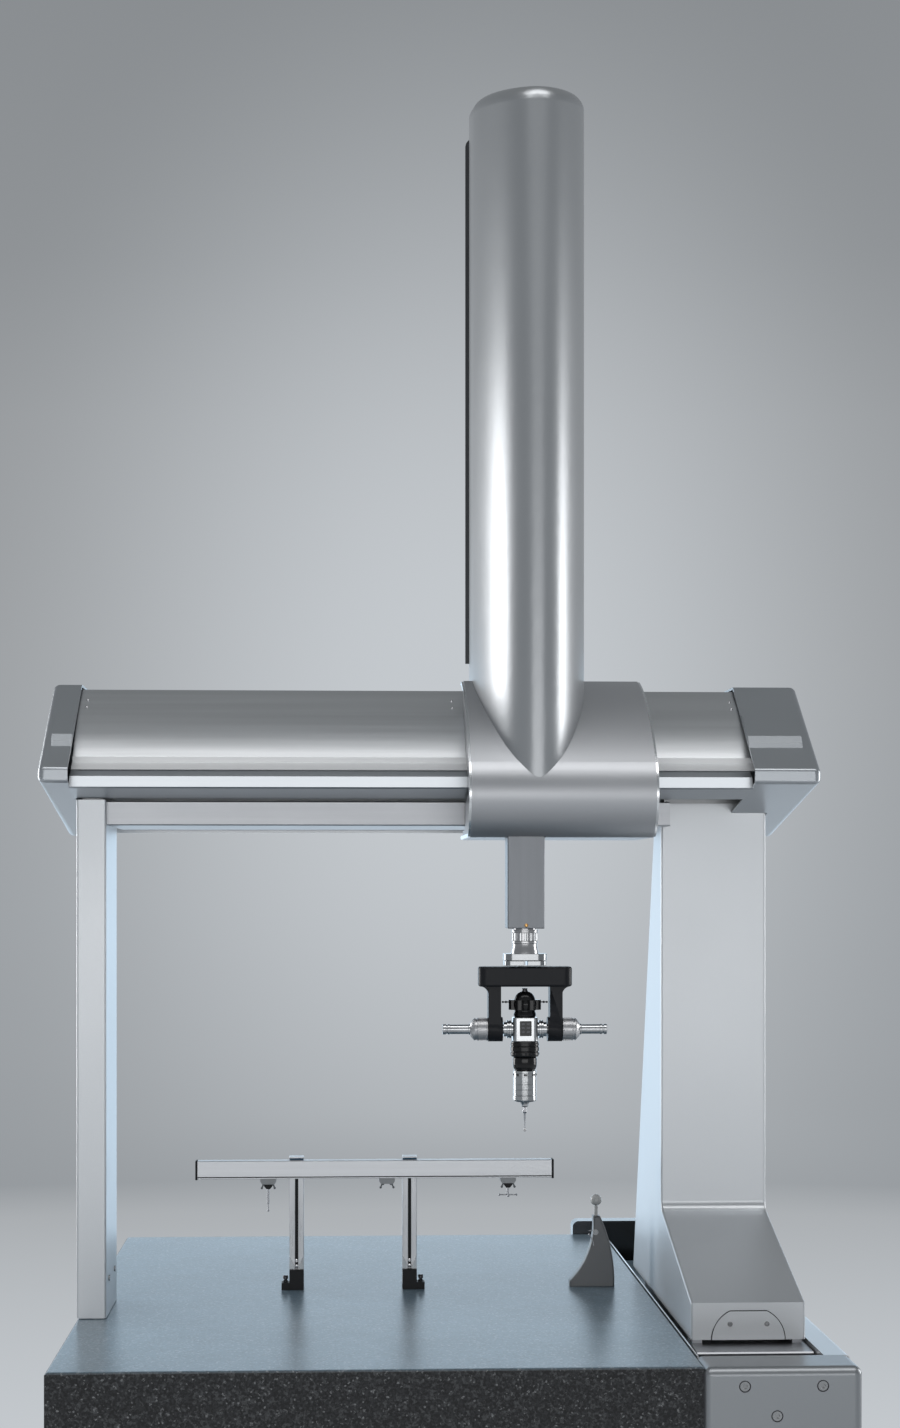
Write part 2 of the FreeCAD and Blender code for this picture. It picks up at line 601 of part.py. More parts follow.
def build_right_leg():
    """Folded sheet cover of the driven leg, its post, access cover, scraper plate and carriage."""
    leg = new_body("right_leg_cover")
    skin = "leg_wall"
    foot_slope = "(fold_height - foot_face_height) / (right_leg_front - foot_front)"
    outline = [("foot_front", "0"), ("foot_front", "foot_face_height"), ("right_leg_front", "fold_height"),
               ("right_leg_front", "leg_top"), (RIGHT_BACK, "leg_top"), ("foot_back", "0")]
    pad(leg, "YZ", RIGHT_LEG_LEFT, RIGHT_LEG_RIGHT, [[corner for corner in reversed(outline)]])
    dress(leg, "Fillet", "fold_round", lambda edge: along("x", edge) and at("fold_height", "z", edge)
          and at("right_leg_front", "y", edge))
    dress(leg, "Fillet", "leg_wall", lambda edge: at(RIGHT_LEG_LEFT, "x", edge) and not at("0", "z", edge)
          and not at("leg_top", "z", edge) or (at(RIGHT_LEG_RIGHT, "x", edge) and not at("0", "z", edge)
                                               and not at("leg_top", "z", edge)))
    inside = [("foot_front + 2 * leg_wall", "-1"), ("foot_front + 2 * leg_wall", "foot_face_height - leg_wall"),
              ("right_leg_front + 2 * leg_wall", "fold_height - leg_wall"),
              ("right_leg_front + 2 * leg_wall", "leg_top + 1"),
              (RIGHT_BACK + " - 2 * leg_wall", "leg_top + 1"), ("foot_back - 2 * leg_wall", "-1")]
    pocket(leg, "YZ", RIGHT_LEG_LEFT + " + " + skin, RIGHT_LEG_RIGHT + " - " + skin,
           [[corner for corner in reversed(inside)]])

    post = new_body("right_leg_post")
    half = "(right_leg_front + right_leg_depth / 2)"
    slope_back = [("foot_back - 90", "-guide_drop + 16"), (half + " + 17", "core_bottom"), (half + " - 17", "core_bottom"),
                  (half + " - 17", "fold_height - 20"), ("foot_front + 60", "foot_face_height - 20"),
                  ("foot_front + 60", "-guide_drop + 16")]
    pad(post, "YZ", RIGHT_LEG_LEFT + " + 2 * leg_wall", RIGHT_LEG_LEFT + " + 2 * leg_wall + 40", [slope_back])
    pad(post, "YZ", RIGHT_LEG_RIGHT + " - 2 * leg_wall - 40", RIGHT_LEG_RIGHT + " - 2 * leg_wall", [slope_back])
    pad(post, "XY", "core_bottom - 30", "core_bottom", [rect(
        RIGHT_LEG_LEFT + " + 2 * leg_wall", half + " - 17", RIGHT_LEG_RIGHT + " - 2 * leg_wall", half + " + 17")])
    pad(post, "XY", "-guide_drop + 16", "foot_face_height - 20", [rect(
        RIGHT_LEG_LEFT + " + 2 * leg_wall", "foot_front + 60", RIGHT_LEG_RIGHT + " - 2 * leg_wall", "foot_front + 100")])

    access = new_body("leg_access_cover")
    middle = "(granite_left + granite_width + right_leg_side_gap + right_leg_width / 2)"
    flat = "access_width / 4"
    arch = [(middle + " - access_width / 2", "0"), (middle + " + access_width / 2", "0"),
            (middle + " + access_width / 2", "2", "access_height * 1.02"), (middle + " + " + flat, "access_height"),
            (middle + " - " + flat, "access_height", "access_height * 1.02"), (middle + " - access_width / 2", "2")]
    pad(access, "XZ", "foot_front - access_thick", "foot_front", [arch])
    for x in (middle + " - access_width / 4", middle + " + access_width / 4"):
        FASTENERS["bridge_screws"].append(
            rod(x, "foot_front - access_thick", "access_height * 0.55", "3.2", "1.4", (0, -1, 0)))
    scraper = new_body("scraper_plate")
    top = "(-foot_plate_drop)"
    pad(scraper, "XY", top + " - foot_plate_thick", top, [rect(
        RIGHT_LEG_LEFT, "foot_front - foot_plate_reach", RIGHT_LEG_RIGHT, "foot_front + 50")])
    dress(scraper, "Chamfer", "foot_plate_thick / 2", lambda edge: at("foot_front - foot_plate_reach", "y", edge)
          and at(top, "z", edge))
    tabs = []
    for y in ("foot_front + 8", "foot_front + 34"):
        for x in (RIGHT_LEG_LEFT + " + leg_wall", RIGHT_LEG_RIGHT + " - leg_wall - 12"):
            tabs.append(box((x, x + " + 12"), (y, y + " + 12"), (top, "foot_face_height / 3")))
    gather("leg_scraper_plate", scraper, group("scraper_brackets", tabs))

    frame = new_body("bridge_carriage")
    bearing = "(pad_disc_thick + air_gap)"
    side = GUIDE_RIGHT + " + " + bearing
    roof = GUIDE_TOP + " + " + bearing
    floor = GUIDE_BOTTOM + " - " + bearing
    hook = [(COVER_LEFT + " + 12", roof), (side, roof), (side, floor), (GUIDE_RIGHT + " - 50", floor),
            (GUIDE_RIGHT + " - 50", floor + " - 8"), (side + " + carriage_wall", floor + " - 8"),
            (side + " + carriage_wall", "-guide_drop + 16"), (COVER_LEFT + " + 12", "-guide_drop + 16")]
    pad(frame, "XZ", "carriage_front", "carriage_back", [list(reversed(hook))])
    x, y, z = BRIDGE_WHEEL
    pocket(frame, "XY", floor + " - 9", floor + " + 1", [rect(
        GUIDE_RIGHT + " - 51", y + " - wheel_radius - 3", side, y + " + wheel_radius + 3")])
    pads = []
    middle_x = "(granite_left + granite_width + guide_width / 2 + 4)"
    middle_z = "(-guide_drop - guide_height / 2)"
    for y in ("carriage_front + 50", "carriage_back - 50"):
        pads.append(rod(middle_x, y, GUIDE_TOP + " + air_gap", "pad_disc_radius", "pad_disc_thick", (0, 0, 1)))
        pads.append(rod(GUIDE_RIGHT + " - 24", y, GUIDE_BOTTOM + " - air_gap", "pad_disc_radius - 8", "pad_disc_thick", (0, 0, -1)))
        pads.append(rod(GUIDE_RIGHT + " + air_gap", y, middle_z + " + 14", "pad_disc_radius - 8", "pad_disc_thick", (1, 0, 0)))
    left_post, left_foot = build_left_leg()
    gather("bridge_air_pads", left_foot, group("guide_air_pads", pads))
    return left_post, post


# Beam
def slant(t):
    """Point at a share of the way down the beam's sloping front, from its top edge to its lip."""
    return ("(beam_edge_y + (beam_lip_y - beam_edge_y) * %g)" % t, "(beam_edge_z + (beam_lip_z - beam_edge_z) * %g)" % t)


def sheet_strip(points):
    """Closed outline of a thin sheet: the points, then the same points one sheet further in."""
    inner = [("%s + beam_sheet * 0.6" % y, "%s - beam_sheet * 0.8" % z) for y, z in points]
    return points + list(reversed(inner))


CAP_LEFT_IN = "(beam_left + left_cap_width)"
CAP_RIGHT_IN = "(beam_right - right_cap_width)"
COVER_END = "(granite_left + granite_width + right_leg_side_gap + right_leg_width + 3)"


def build_beam(left_post, right_post):
    """Structural beam, the sheets and rail that cover it, and the cable duct below it."""
    core = new_body("beam_core")
    ends = (CAP_LEFT_IN + " + 3", RIGHT_LEG_RIGHT)
    section = [("core_front", "core_bottom"), ("core_back", "core_bottom"), ("core_back", "core_top"),
               ("core_front + 45", "core_top"), ("core_front", "core_top - 34")]
    pad(core, "YZ", ends[0], ends[1], [section])
    pocket(core, "YZ", ends[0] + " - 1", ends[1] + " + 1", [[
        ("core_front + 12", "core_bottom + 12"), ("core_back - 12", "core_bottom + 12"),
        ("core_back - 12", "core_top - 12"), ("core_front + 50", "core_top - 12"),
        ("core_front + 12", "core_top - 41")]])
    frames = []
    slope = [("%s + 1.8" % slant(0)[0], "%s - 2.6" % slant(0)[1]), ("%s + 1.8" % slant(0.68)[0], "%s - 2.6" % slant(0.68)[1]),
             ("%s + 5.5" % slant(0.71)[0], "%s - 4" % slant(0.71)[1]), ("beam_lip_y + 14", "beam_lip_z + 10"),
             ("left_leg_front + 1", "leg_top + 9"), ("beam_rear_y - 3.3", "leg_top + 9"),
             ("beam_rear_y - 3.3", "beam_edge_z - 3.6")]
    for x in (ends[0] + " - 4", ends[1]):
        plate = new_body("beam_end_plate_" + ("left" if x != ends[1] else "right"))
        pad(plate, "YZ", x, x + " + 4", [slope])
        frames.append(plate)
    gather("bridge_frame", left_post, right_post, *frames)
    upper = new_body("beam_upper_cover")
    crease, groove = slant(0.4), slant(0.68)
    bulge = ("(%s - 3)" % groove[0], "(%s + 3)" % groove[1])
    pad(upper, "YZ", CAP_LEFT_IN, COVER_END, [list(reversed(sheet_strip([
        ("beam_edge_y", "beam_edge_z"), crease, bulge, (bulge[0] + " - 0.5", bulge[1] + " - 6")])))])
    rail = new_body("beam_front_rail")
    top, low = slant(0.71), slant(0.837)
    pad(rail, "YZ", CAP_LEFT_IN, COVER_END, [[
        top, ("%s - 2" % top[0], "%s + 1" % top[1]), ("%s - 4" % top[0], "%s - 6" % top[1]),
        ("%s - 2" % low[0], "%s + 1" % low[1]), low, ("%s + 4" % low[0], "%s + 2" % low[1]),
        ("%s + 5" % top[0], "%s - 3" % top[1])]])
    lower = new_body("beam_lower_cover")
    high = slant(0.84)
    pad(lower, "YZ", CAP_LEFT_IN, CAP_RIGHT_IN, [[
        high, ("%s - 4" % slant(0.92)[0], "%s + 3" % slant(0.92)[1]), ("beam_lip_y", "beam_lip_z"),
        ("beam_lip_y + 4", "beam_lip_z - 2"), ("left_leg_front + 0.3", "leg_top + 2"),
        ("left_leg_front + 0.3", "leg_top + 2 + beam_sheet"), ("beam_lip_y + 8", "beam_lip_z + 2"),
        ("%s + 2" % slant(0.92)[0], "%s + 1" % slant(0.92)[1]), ("%s + 3" % high[0], "%s - 1" % high[1])]])
    duct = new_body("beam_cable_duct")
    floor = "beam_bottom_z"
    pad(duct, "YZ", LEFT_IN, RIGHT_LEG_LEFT, [rect("box_front", floor, "beam_rear_y - 6", "box_top")])
    dress(duct, "Chamfer", "1.5", lambda edge: along("x", edge))
    pocket(duct, "YZ", LEFT_IN + " - 1", RIGHT_LEG_LEFT + " + 1", [rect(
        "box_front + leg_wall", floor + " + leg_wall", "beam_rear_y - 6 - leg_wall", "box_top - leg_wall")])
    back = new_body("beam_rear_cover")
    pad(back, "YZ", CAP_LEFT_IN, COVER_END, [[
        ("beam_rear_y - 5", floor + " - 4"), ("beam_rear_y", floor + " - 4"), ("beam_rear_y", "beam_edge_z"),
        ("beam_rear_y - 16", "beam_edge_z"), ("beam_rear_y - 16", "beam_edge_z - 3"),
        ("beam_rear_y - 3", "beam_edge_z - 3"), ("beam_rear_y - 3", floor + " - 1"), ("beam_rear_y - 5", floor + " - 1")]])
    gather("beam_end_caps", build_cap("beam_left_cap", "beam_left", CAP_LEFT_IN, -1),
           build_cap("beam_right_cap", CAP_RIGHT_IN, "beam_right", 1))
    screws = FASTENERS["bridge_screws"]
    for x in (CAP_LEFT_IN + " + 12", CAP_RIGHT_IN + " - 9", "carriage_centre - carriage_width / 2 - 14"):
        for share in (0.14, 0.22):
            y, z = slant(share)
            screws.append(rod(x, y + " - 0.3", z + " + 0.3", "2.6", "1.2", (0, -0.612, 0.791)))


def cap_outline(grow):
    """Section of an end cap, grown outwards by a size."""
    return [("beam_edge_y - 4 - %s * 0.6" % grow, "beam_edge_z + 3 + %s" % grow),
            ("beam_lip_y - 10 - %s" % grow, "beam_lip_z + 22 + %s * 0.4" % grow),
            ("beam_lip_y - 10 - %s" % grow, "beam_lip_z + 6 - %s * 0.4" % grow),
            ("beam_rear_y + 2 + %s" % grow, "beam_bottom_z - 6 - %s" % grow),
            ("beam_rear_y + 2 + %s" % grow, "beam_edge_z + 3 + %s" % grow)]


def cap_face(share, proud):
    """Point on the sloping face of an end cap, or proud of it."""
    top, low = cap_outline("3")[0], cap_outline("3")[1]
    return ("(%s + (%s - (%s)) * %g - 0.565 * %g)" % (top[0], low[0], top[0], share, proud),
            "(%s + (%s - (%s)) * %g + 0.825 * %g)" % (top[1], low[1], top[1], share, proud))


def build_cap(label, low, high, side):
    """Moulded end cap of the beam with a raised band on its front; side is -1 on the left, 1 on the right."""
    cap = new_body(label)
    outer, inner = (low, high) if side < 0 else (high, low)
    pad(cap, "YZ", low, high, [list(reversed(cap_outline("3")))])
    dress(cap, "Fillet", "5", lambda edge: along("x", edge))
    band = (low + " + 12", high) if side < 0 else (low, high + " - 16")
    pad(cap, "YZ", band[0], band[1], [list(reversed([
        cap_face(0.36, -2), cap_face(0.40, 6), cap_face(0.66, 7), cap_face(0.72, 4), cap_face(0.76, -2)]))])
    dress(cap, "Fillet", "9", lambda edge: at(outer, "x", edge))
    cavity = (low + " + 4", high + " + 1") if side < 0 else (low + " - 1", high + " - 4")
    pocket(cap, "YZ", cavity[0], cavity[1], [list(reversed(cap_outline("0")))])
    if side > 0:
        pocket(cap, "XY", "beam_bottom_z - 30", "leg_top + 8", [rect(
            low + " - 1", "right_leg_front - 2", RIGHT_LEG_RIGHT + " + 2", RIGHT_BACK + " + 14")])
    return cap


# Carriage, ram and column
COVER_SIDE_LEFT = "(carriage_centre - carriage_width / 2)"
COVER_SIDE_RIGHT = "(carriage_centre + carriage_width / 2)"
RAM_LEFT = "(ram_x - ram_width / 2)"
RAM_RIGHT = "(ram_x + ram_width / 2)"
RAM_FRONT = "(ram_y - ram_depth / 2)"
RAM_BACK = "(ram_y + ram_depth / 2)"
COLUMN_BACK = "(column_wide_y + column_flank)"
FRAME_TOP = "(column_top - 165)"
CARRIAGE_WHEEL = ("carriage_centre", "(core_back + wheel_radius + air_gap)", "carriage_motor_top")
RAM_WHEEL = ("(column_x + 40)", "(ram_y + ram_depth / 2 + wheel_radius + air_gap)", "ram_motor_z")


def hood_outline(inset):
    """Side profile of the carriage cover, set in by a size."""
    n, g = "(cover_nose + %s)" % inset, inset
    return [("cover_back", "cover_bottom + %s" % g), ("cover_back", "cover_top - %s" % g),
            ("%s + hood_top_run" % n, "cover_top - %s" % g, "hood_radius - %s" % g),
            ("%s + nose_set" % n, "cover_top - nose_drop - %s * 0.4" % g, "nose_round - %s" % g),
            ("%s + belly_set" % n, "cover_bottom + %s" % g)]


def beam_clearance():
    """Section that the beam's covers need, with room round it."""
    return [("beam_lip_y - 4", "beam_lip_z - 8"), ("beam_lip_y - 4", "beam_lip_z + 8"), ("beam_edge_y - 8", "beam_edge_z + 3.5"),
            ("cover_back + 40", "beam_edge_z + 3.5"), ("cover_back + 40", "cover_bottom + 12"),
            ("box_front - 4", "cover_bottom + 12"), ("box_front - 14", "leg_top - 4")]


def build_hood():
    """Curved carriage cover, cut out round the beam, the ram and the column, with its bright edge strips."""
    body = new_body("carriage_cover")
    PARTS.remove(body)
    body.Label = "hood_shell"
    pad(body, "YZ", COVER_SIDE_LEFT, COVER_SIDE_RIGHT, [hood_outline("0")])
    inner = hood_outline("cover_skin")
    inner[0] = ("cover_back + 1", inner[0][1])
    inner[1] = ("cover_back + 1", inner[1][1])
    pocket(body, "YZ", COVER_SIDE_LEFT + " + cover_skin", COVER_SIDE_RIGHT + " - cover_skin", [inner])
    pocket(body, "YZ", COVER_SIDE_LEFT + " - 1", COVER_SIDE_RIGHT + " + 1", [beam_clearance()])
    pocket(body, "XY", "cover_bottom - 40", "cover_bottom + 60", [rect(
        RAM_LEFT + " - 1.5", RAM_FRONT + " - 2.5", RAM_RIGHT + " + 1.5", RAM_BACK + " + 1.5")])
    inside_column = column_shape("column_wall + 1.5", "cover_bottom + 40", "cover_top + 40", "0")
    tool = doc.addObject("Part::Feature", "Column_opening")
    tool.Shape = Part.makeCompound([inside_column])
    place(tool)
    cut = doc.addObject("Part::Cut", "Cut_carriage_cover")
    cut.Base = body
    cut.Tool = tool
    keep(cut, "carriage_cover")
    strips = []
    for x, way in ((COVER_SIDE_LEFT, -1), (COVER_SIDE_RIGHT, 1)):
        strip = new_body("strip")
        PARTS.remove(strip)
        low, high = (x + " - cover_trim", x) if way < 0 else (x, x + " + cover_trim")
        pad(strip, "YZ", low, high, [hood_outline("1")])
        doc.recompute()
        core = new_body("strip_core")
        PARTS.remove(core)
        pad(core, "YZ", low + " - 1", high + " + 1", [shifted_hood()])
        doc.recompute()
        strips.append(strip.Shape.cut(core.Shape))
    for strip in strips:
        strip.translate(Vector(0, 0, -num("table_top")))
    group("carriage_cover_strips", strips)


def shifted_hood():
    """Inner edge of the bright strips, open towards the beam."""
    outline = hood_outline("5")
    outline[0] = ("cover_back + 1", outline[0][1])
    outline[1] = ("cover_back + 1", outline[1][1])
    return outline


def column_shape(inset, low, high, dome):
    """Column body: half an ellipse in front, straight flanks behind. A dome rounds a top that falls forward."""
    half, reach = num("column_half_width") - num(inset), num("column_ellipse") - num(inset)
    x, wide, back = num("column_x"), num("column_wide_y"), num(COLUMN_BACK)
    oval = Part.Ellipse(Vector(x, wide - reach, 0), Vector(x + half, wide, 0), Vector(x, wide, 0))
    arc = Part.ArcOfEllipse(oval, -math.pi / 2, math.pi / 2).toShape()
    left, right = Vector(x - half, wide, 0), Vector(x + half, wide, 0)
    lines = [Part.makeLine(right, Vector(x + half, back, 0)), Part.makeLine(Vector(x + half, back, 0), Vector(x - half, back, 0)),
             Part.makeLine(Vector(x - half, back, 0), left)]
    wire = Part.Wire(Part.__sortEdges__([arc] + lines))
    solid = Part.Face(wire).extrude(Vector(0, 0, num(high) - num(low)))
    solid.translate(Vector(0, 0, num(low)))
    if num(dome) > 0:
        peak, nose, side = num(high), wide - num("column_ellipse"), x - 2 * half
        slope = num("column_fall") / (back - nose)
        ends = [(y, peak - slope * (back - y)) for y in (nose - half, back + half)]
        corners = [Vector(side, y, z) for y, z in ends + [(back + half, 2 * peak), (nose - half, 2 * peak)]]
        above = Part.Face(Part.makePolygon(corners + corners[:1])).extrude(Vector(4 * half, 0, 0))
        solid = solid.cut(above)
        roof = [face for face in solid.Faces if face.normalAt(0, 0).z > 0.5][0]
        solid = solid.makeFillet(num(dome), [edge for edge in roof.Edges if not at(COLUMN_BACK, "y", edge)])
    return solid


def build_column():
    """Tall cover of the ram, open below, scribed to the carriage cover, with its rear plate."""
    shell = column_shape("0", "cover_bottom + 20", "column_top", "column_round")
    hollow = column_shape("column_wall", "cover_bottom", "column_top - column_wall", "column_round - column_wall")
    hollow.translate(Vector(0, num("column_wall") + 1, 0))
    front = column_shape("column_wall", "cover_bottom", "column_top - column_wall", "column_round - column_wall")
    saddle = new_body("column_seat")
    PARTS.remove(saddle)
    outline = hood_outline("-0.2")
    nose = ("cover_nose - 1", "cover_top - 153")
    outline = [("cover_back + 100", "cover_bottom - 60"), ("cover_back + 100", outline[1][1]), outline[2], outline[3], nose,
               ("cover_nose - 1", "cover_bottom - 60")]
    pad(saddle, "YZ", COVER_SIDE_LEFT, COVER_SIDE_RIGHT, [outline])
    doc.recompute()
    seat = saddle.Shape.copy()
    seat.translate(Vector(0, 0, -num("table_top")))
    group("column_cover", [shell.cut(front).cut(hollow).cut(seat)])
    plate = new_body("column_rear_plate")
    pad(plate, "XZ", COLUMN_BACK + " + 0.1", COLUMN_BACK + " + 0.1 + leg_wall", [rect(
        "column_x - column_half_width - 5", "cover_top + 30", "column_x + column_half_width + 1",
        "column_top - rear_plate_drop")])
    dress(plate, "Fillet", "12", lambda edge: along("y", edge) and at("column_top - rear_plate_drop", "z", edge))


def build_saddle():
    """Casting that hangs the ram in front of the beam and wraps over its top and round its back."""
    body = new_body("carriage_saddle")
    bearing = "(pad_disc_thick + air_gap)"
    under = "(core_bottom - 8 - air_gap)"
    outline = [("ram_y + 54", "lower_block_z"), ("box_front - 2.5", "lower_block_z"), ("box_front - 2.5", "box_top + 1.2"),
               ("core_front + 65", "box_top + 1.2"), ("core_front + 65", under), ("box_front - 7.5", under),
               ("box_front - 7.5", "leg_top - 5"), ("beam_lip_y - 5", "leg_top - 5"), ("beam_lip_y - 5", "beam_lip_z + 5"),
               ("beam_edge_y - 8", "beam_edge_z + 4.5"), ("beam_edge_y + 7", "beam_edge_z + 4.5"),
               ("beam_edge_y + 7", "core_top + " + bearing), ("core_back + " + bearing, "core_top + " + bearing),
               ("core_back + " + bearing, "core_bottom"), ("core_back + 10 + " + bearing, "core_bottom"),
               ("core_back + 10 + " + bearing, "saddle_top"), ("cover_back + 6", "saddle_top"),
               ("cover_back + 6", "cover_top - 5"), ("cover_nose + 204", "cover_top - 8"),
               ("cover_nose + 132", "cover_top - 34"), ("cover_nose + 70", "cover_top - 76"),
               ("cover_nose + 22", "cover_top - 126"), ("cover_nose + 10", "cover_top - 160"),
               ("cover_nose + 37", "lower_block_z")]
    low, high = "(carriage_centre - saddle_width / 2)", "(carriage_centre + saddle_width / 2)"
    pad(body, "YZ", low, high, [outline])
    gap = ("ram_x - ram_width / 2 - block_gap - 12", "ram_x + ram_width / 2 + block_gap + 14")
    pocket(body, "XY", "lower_block_z - 1", "cover_top + 60", [rect(gap[0], "cover_nose", gap[1], "ram_y + 54")])
    x, y, z = CARRIAGE_WHEEL
    pocket(body, "XZ", "core_back", "core_back + 40", [rect(
        x + " - wheel_radius - 3", z + " - motor_length - wheel_width - 10", x + " + wheel_radius + 3", z)])
    pads = []
    for x in (low + " + pad_disc_radius", high + " - pad_disc_radius"):
        pads.append(rod(x, "(core_front + core_back) / 2 + 14", "core_top + air_gap", "pad_disc_radius", "pad_disc_thick", (0, 0, 1)))
        pads.append(rod(x, "core_back + air_gap", "(core_bottom + core_top) / 2 - 8", "pad_disc_radius - 4", "pad_disc_thick", (0, 1, 0)))
        pads.append(rod(x, "core_front + 32", "core_bottom - air_gap", "pad_disc_radius - 10", "8", (0, 0, -1)))
    return group("beam_air_pads", pads)


def build_ram_guides():
    """Two guide blocks round the ram, their pads and the back frame that joins the upper one to the saddle."""
    inner = (RAM_LEFT + " - block_gap", RAM_FRONT + " - block_gap", RAM_RIGHT + " + block_gap", RAM_BACK + " + block_gap")
    blocks = []
    for label, low in (("lower_ram_guide", "lower_block_z"), ("upper_ram_guide", "upper_block_z")):
        high = "(%s + guide_block_height)" % low
        block = new_body(label)
        outline = [(inner[0] + " - 8", "ram_y + 10"), (inner[0], "ram_y + 10"), (inner[0], inner[3]), (inner[2], inner[3]),
                   (inner[2], inner[1]), (RAM_LEFT + " + 10", inner[1]), (RAM_LEFT + " + 10", inner[1] + " - 8"),
                   (inner[2] + " + 11", inner[1] + " - 8"), (inner[2] + " + 11", "ram_y + 53"),
                   (inner[0] + " - 8", "ram_y + 53")]
        pad(block, "XY", low, high, [outline])
        dress(block, "Chamfer", "1", lambda edge: along("z", edge) and at("ram_y + 53", "y", edge))
        blocks.append(block)
    gather("ram_guides", *blocks)
    pads = []
    reach = "block_gap - 2 * running_gap"
    for low in ("lower_block_z", "upper_block_z"):
        z = low + " + guide_block_height / 2"
        pads.append(rod(inner[2] + " - running_gap", "ram_y", z, "9", reach, (-1, 0, 0)))
        pads.append(rod(inner[0] + " + running_gap", "ram_y + 16", z, "6", reach, (1, 0, 0)))
        pads.append(rod("ram_x", inner[3] + " - running_gap", z, "9", reach, (0, -1, 0)))
        pads.append(rod("ram_x + 6", inner[1] + " + running_gap", z, "9", reach, (0, 1, 0)))
    gather("carriage_air_pads", build_saddle(), group("ram_guide_pads", pads))
    frame = new_body("column_frame")
    low = "saddle_top"
    pad(frame, "XY", low, FRAME_TOP, [rect(
        "column_x - 46", COLUMN_BACK + " - 14", "column_x + 46", COLUMN_BACK + " - 6")])
    pad(frame, "XY", FRAME_TOP, FRAME_TOP + " + 12", [rect(
        "ram_x - 20", "ram_y - 12", "ram_x + 20", COLUMN_BACK + " - 6")])
    pad(frame, "XY", low, low + " + 12", [rect("column_x - 46", "ram_y + 54", "column_x + 46", COLUMN_BACK + " - 6")])
    for x in ("column_x - 46", "column_x + 40"):
        pad(frame, "XY", low, "column_top - 400", [rect(x, "ram_y + 110", x + " + 6", COLUMN_BACK + " - 6")])
    pad(frame, "XY", low, "upper_block_z + guide_block_height", [rect(
        "column_x - 46", "ram_y + 54", "column_x + 46", "ram_y + 62")])
    x, y, z = RAM_WHEEL
    pad(frame, "YZ", x, x + " + 6", [rect(y + " - motor_radius", z + " - 25", "ram_y + 112", z + " + 25")])


def build_ram():
    """Square hollow ram with its end plate, scale, crosshead and balance rod."""
    ram = new_body("z_ram")
    pad(ram, "XY", "ram_bottom + 8", "ram_top", [rect(RAM_LEFT, RAM_FRONT, RAM_RIGHT, RAM_BACK)])
    dress(ram, "Chamfer", "1", lambda edge: along("z", edge))
    pocket(ram, "XY", "ram_bottom", "ram_top + 1", [rect(
        RAM_LEFT + " + ram_wall", RAM_FRONT + " + ram_wall", RAM_RIGHT + " - ram_wall", RAM_BACK + " - ram_wall")])
    plate = new_body("ram_end_plate")
    pad(plate, "XY", "ram_bottom", "ram_bottom + 8", [rect(RAM_LEFT, RAM_FRONT, RAM_RIGHT, RAM_BACK)])
    dress(plate, "Chamfer", "1", lambda edge: along("z", edge) or at("ram_bottom", "z", edge))
    group("ram_brass_screw", [rod("ram_x", RAM_FRONT, "ram_bottom + 4", "2.4", "1.6", (0, -1, 0))])
    top = new_body("ram_top_plate")
    gland = "rod_radius + running_gap"
    pad(top, "XY", "ram_top", "ram_top + 8", [rect(RAM_LEFT, RAM_FRONT, RAM_RIGHT, RAM_BACK)],
        [("ram_x", "ram_y", gland)])
    dress(top, "Chamfer", "2", lambda edge: along("z", edge) and at(RAM_FRONT, "y", edge))
    gather("ram_end_plates", plate, top)
    tube = new_body("balance_tube", ("ram_x", "ram_y", "table_top"))
    bore = "balance_radius - balance_wall"
    foot = "ram_top - balance_length"
    revolve(tube, [(0, foot), ("balance_radius", foot), ("balance_radius", "ram_top"), (gland, "ram_top"),
                   (gland, "ram_top - 8"), (bore, "ram_top - 8"), (bore, foot + " + 6"), (0, foot + " + 6")])
    piston = bore + " - running_gap"
    low = "balance_piston_z"
    group("balance_rod", [lathe([(0, low), (piston, low), (piston, low + " + 12"), ("rod_radius", low + " + 12"),
                                 ("rod_radius", FRAME_TOP), (0, FRAME_TOP)], ("ram_x", "ram_y", "0"), (0, 0, 1))])


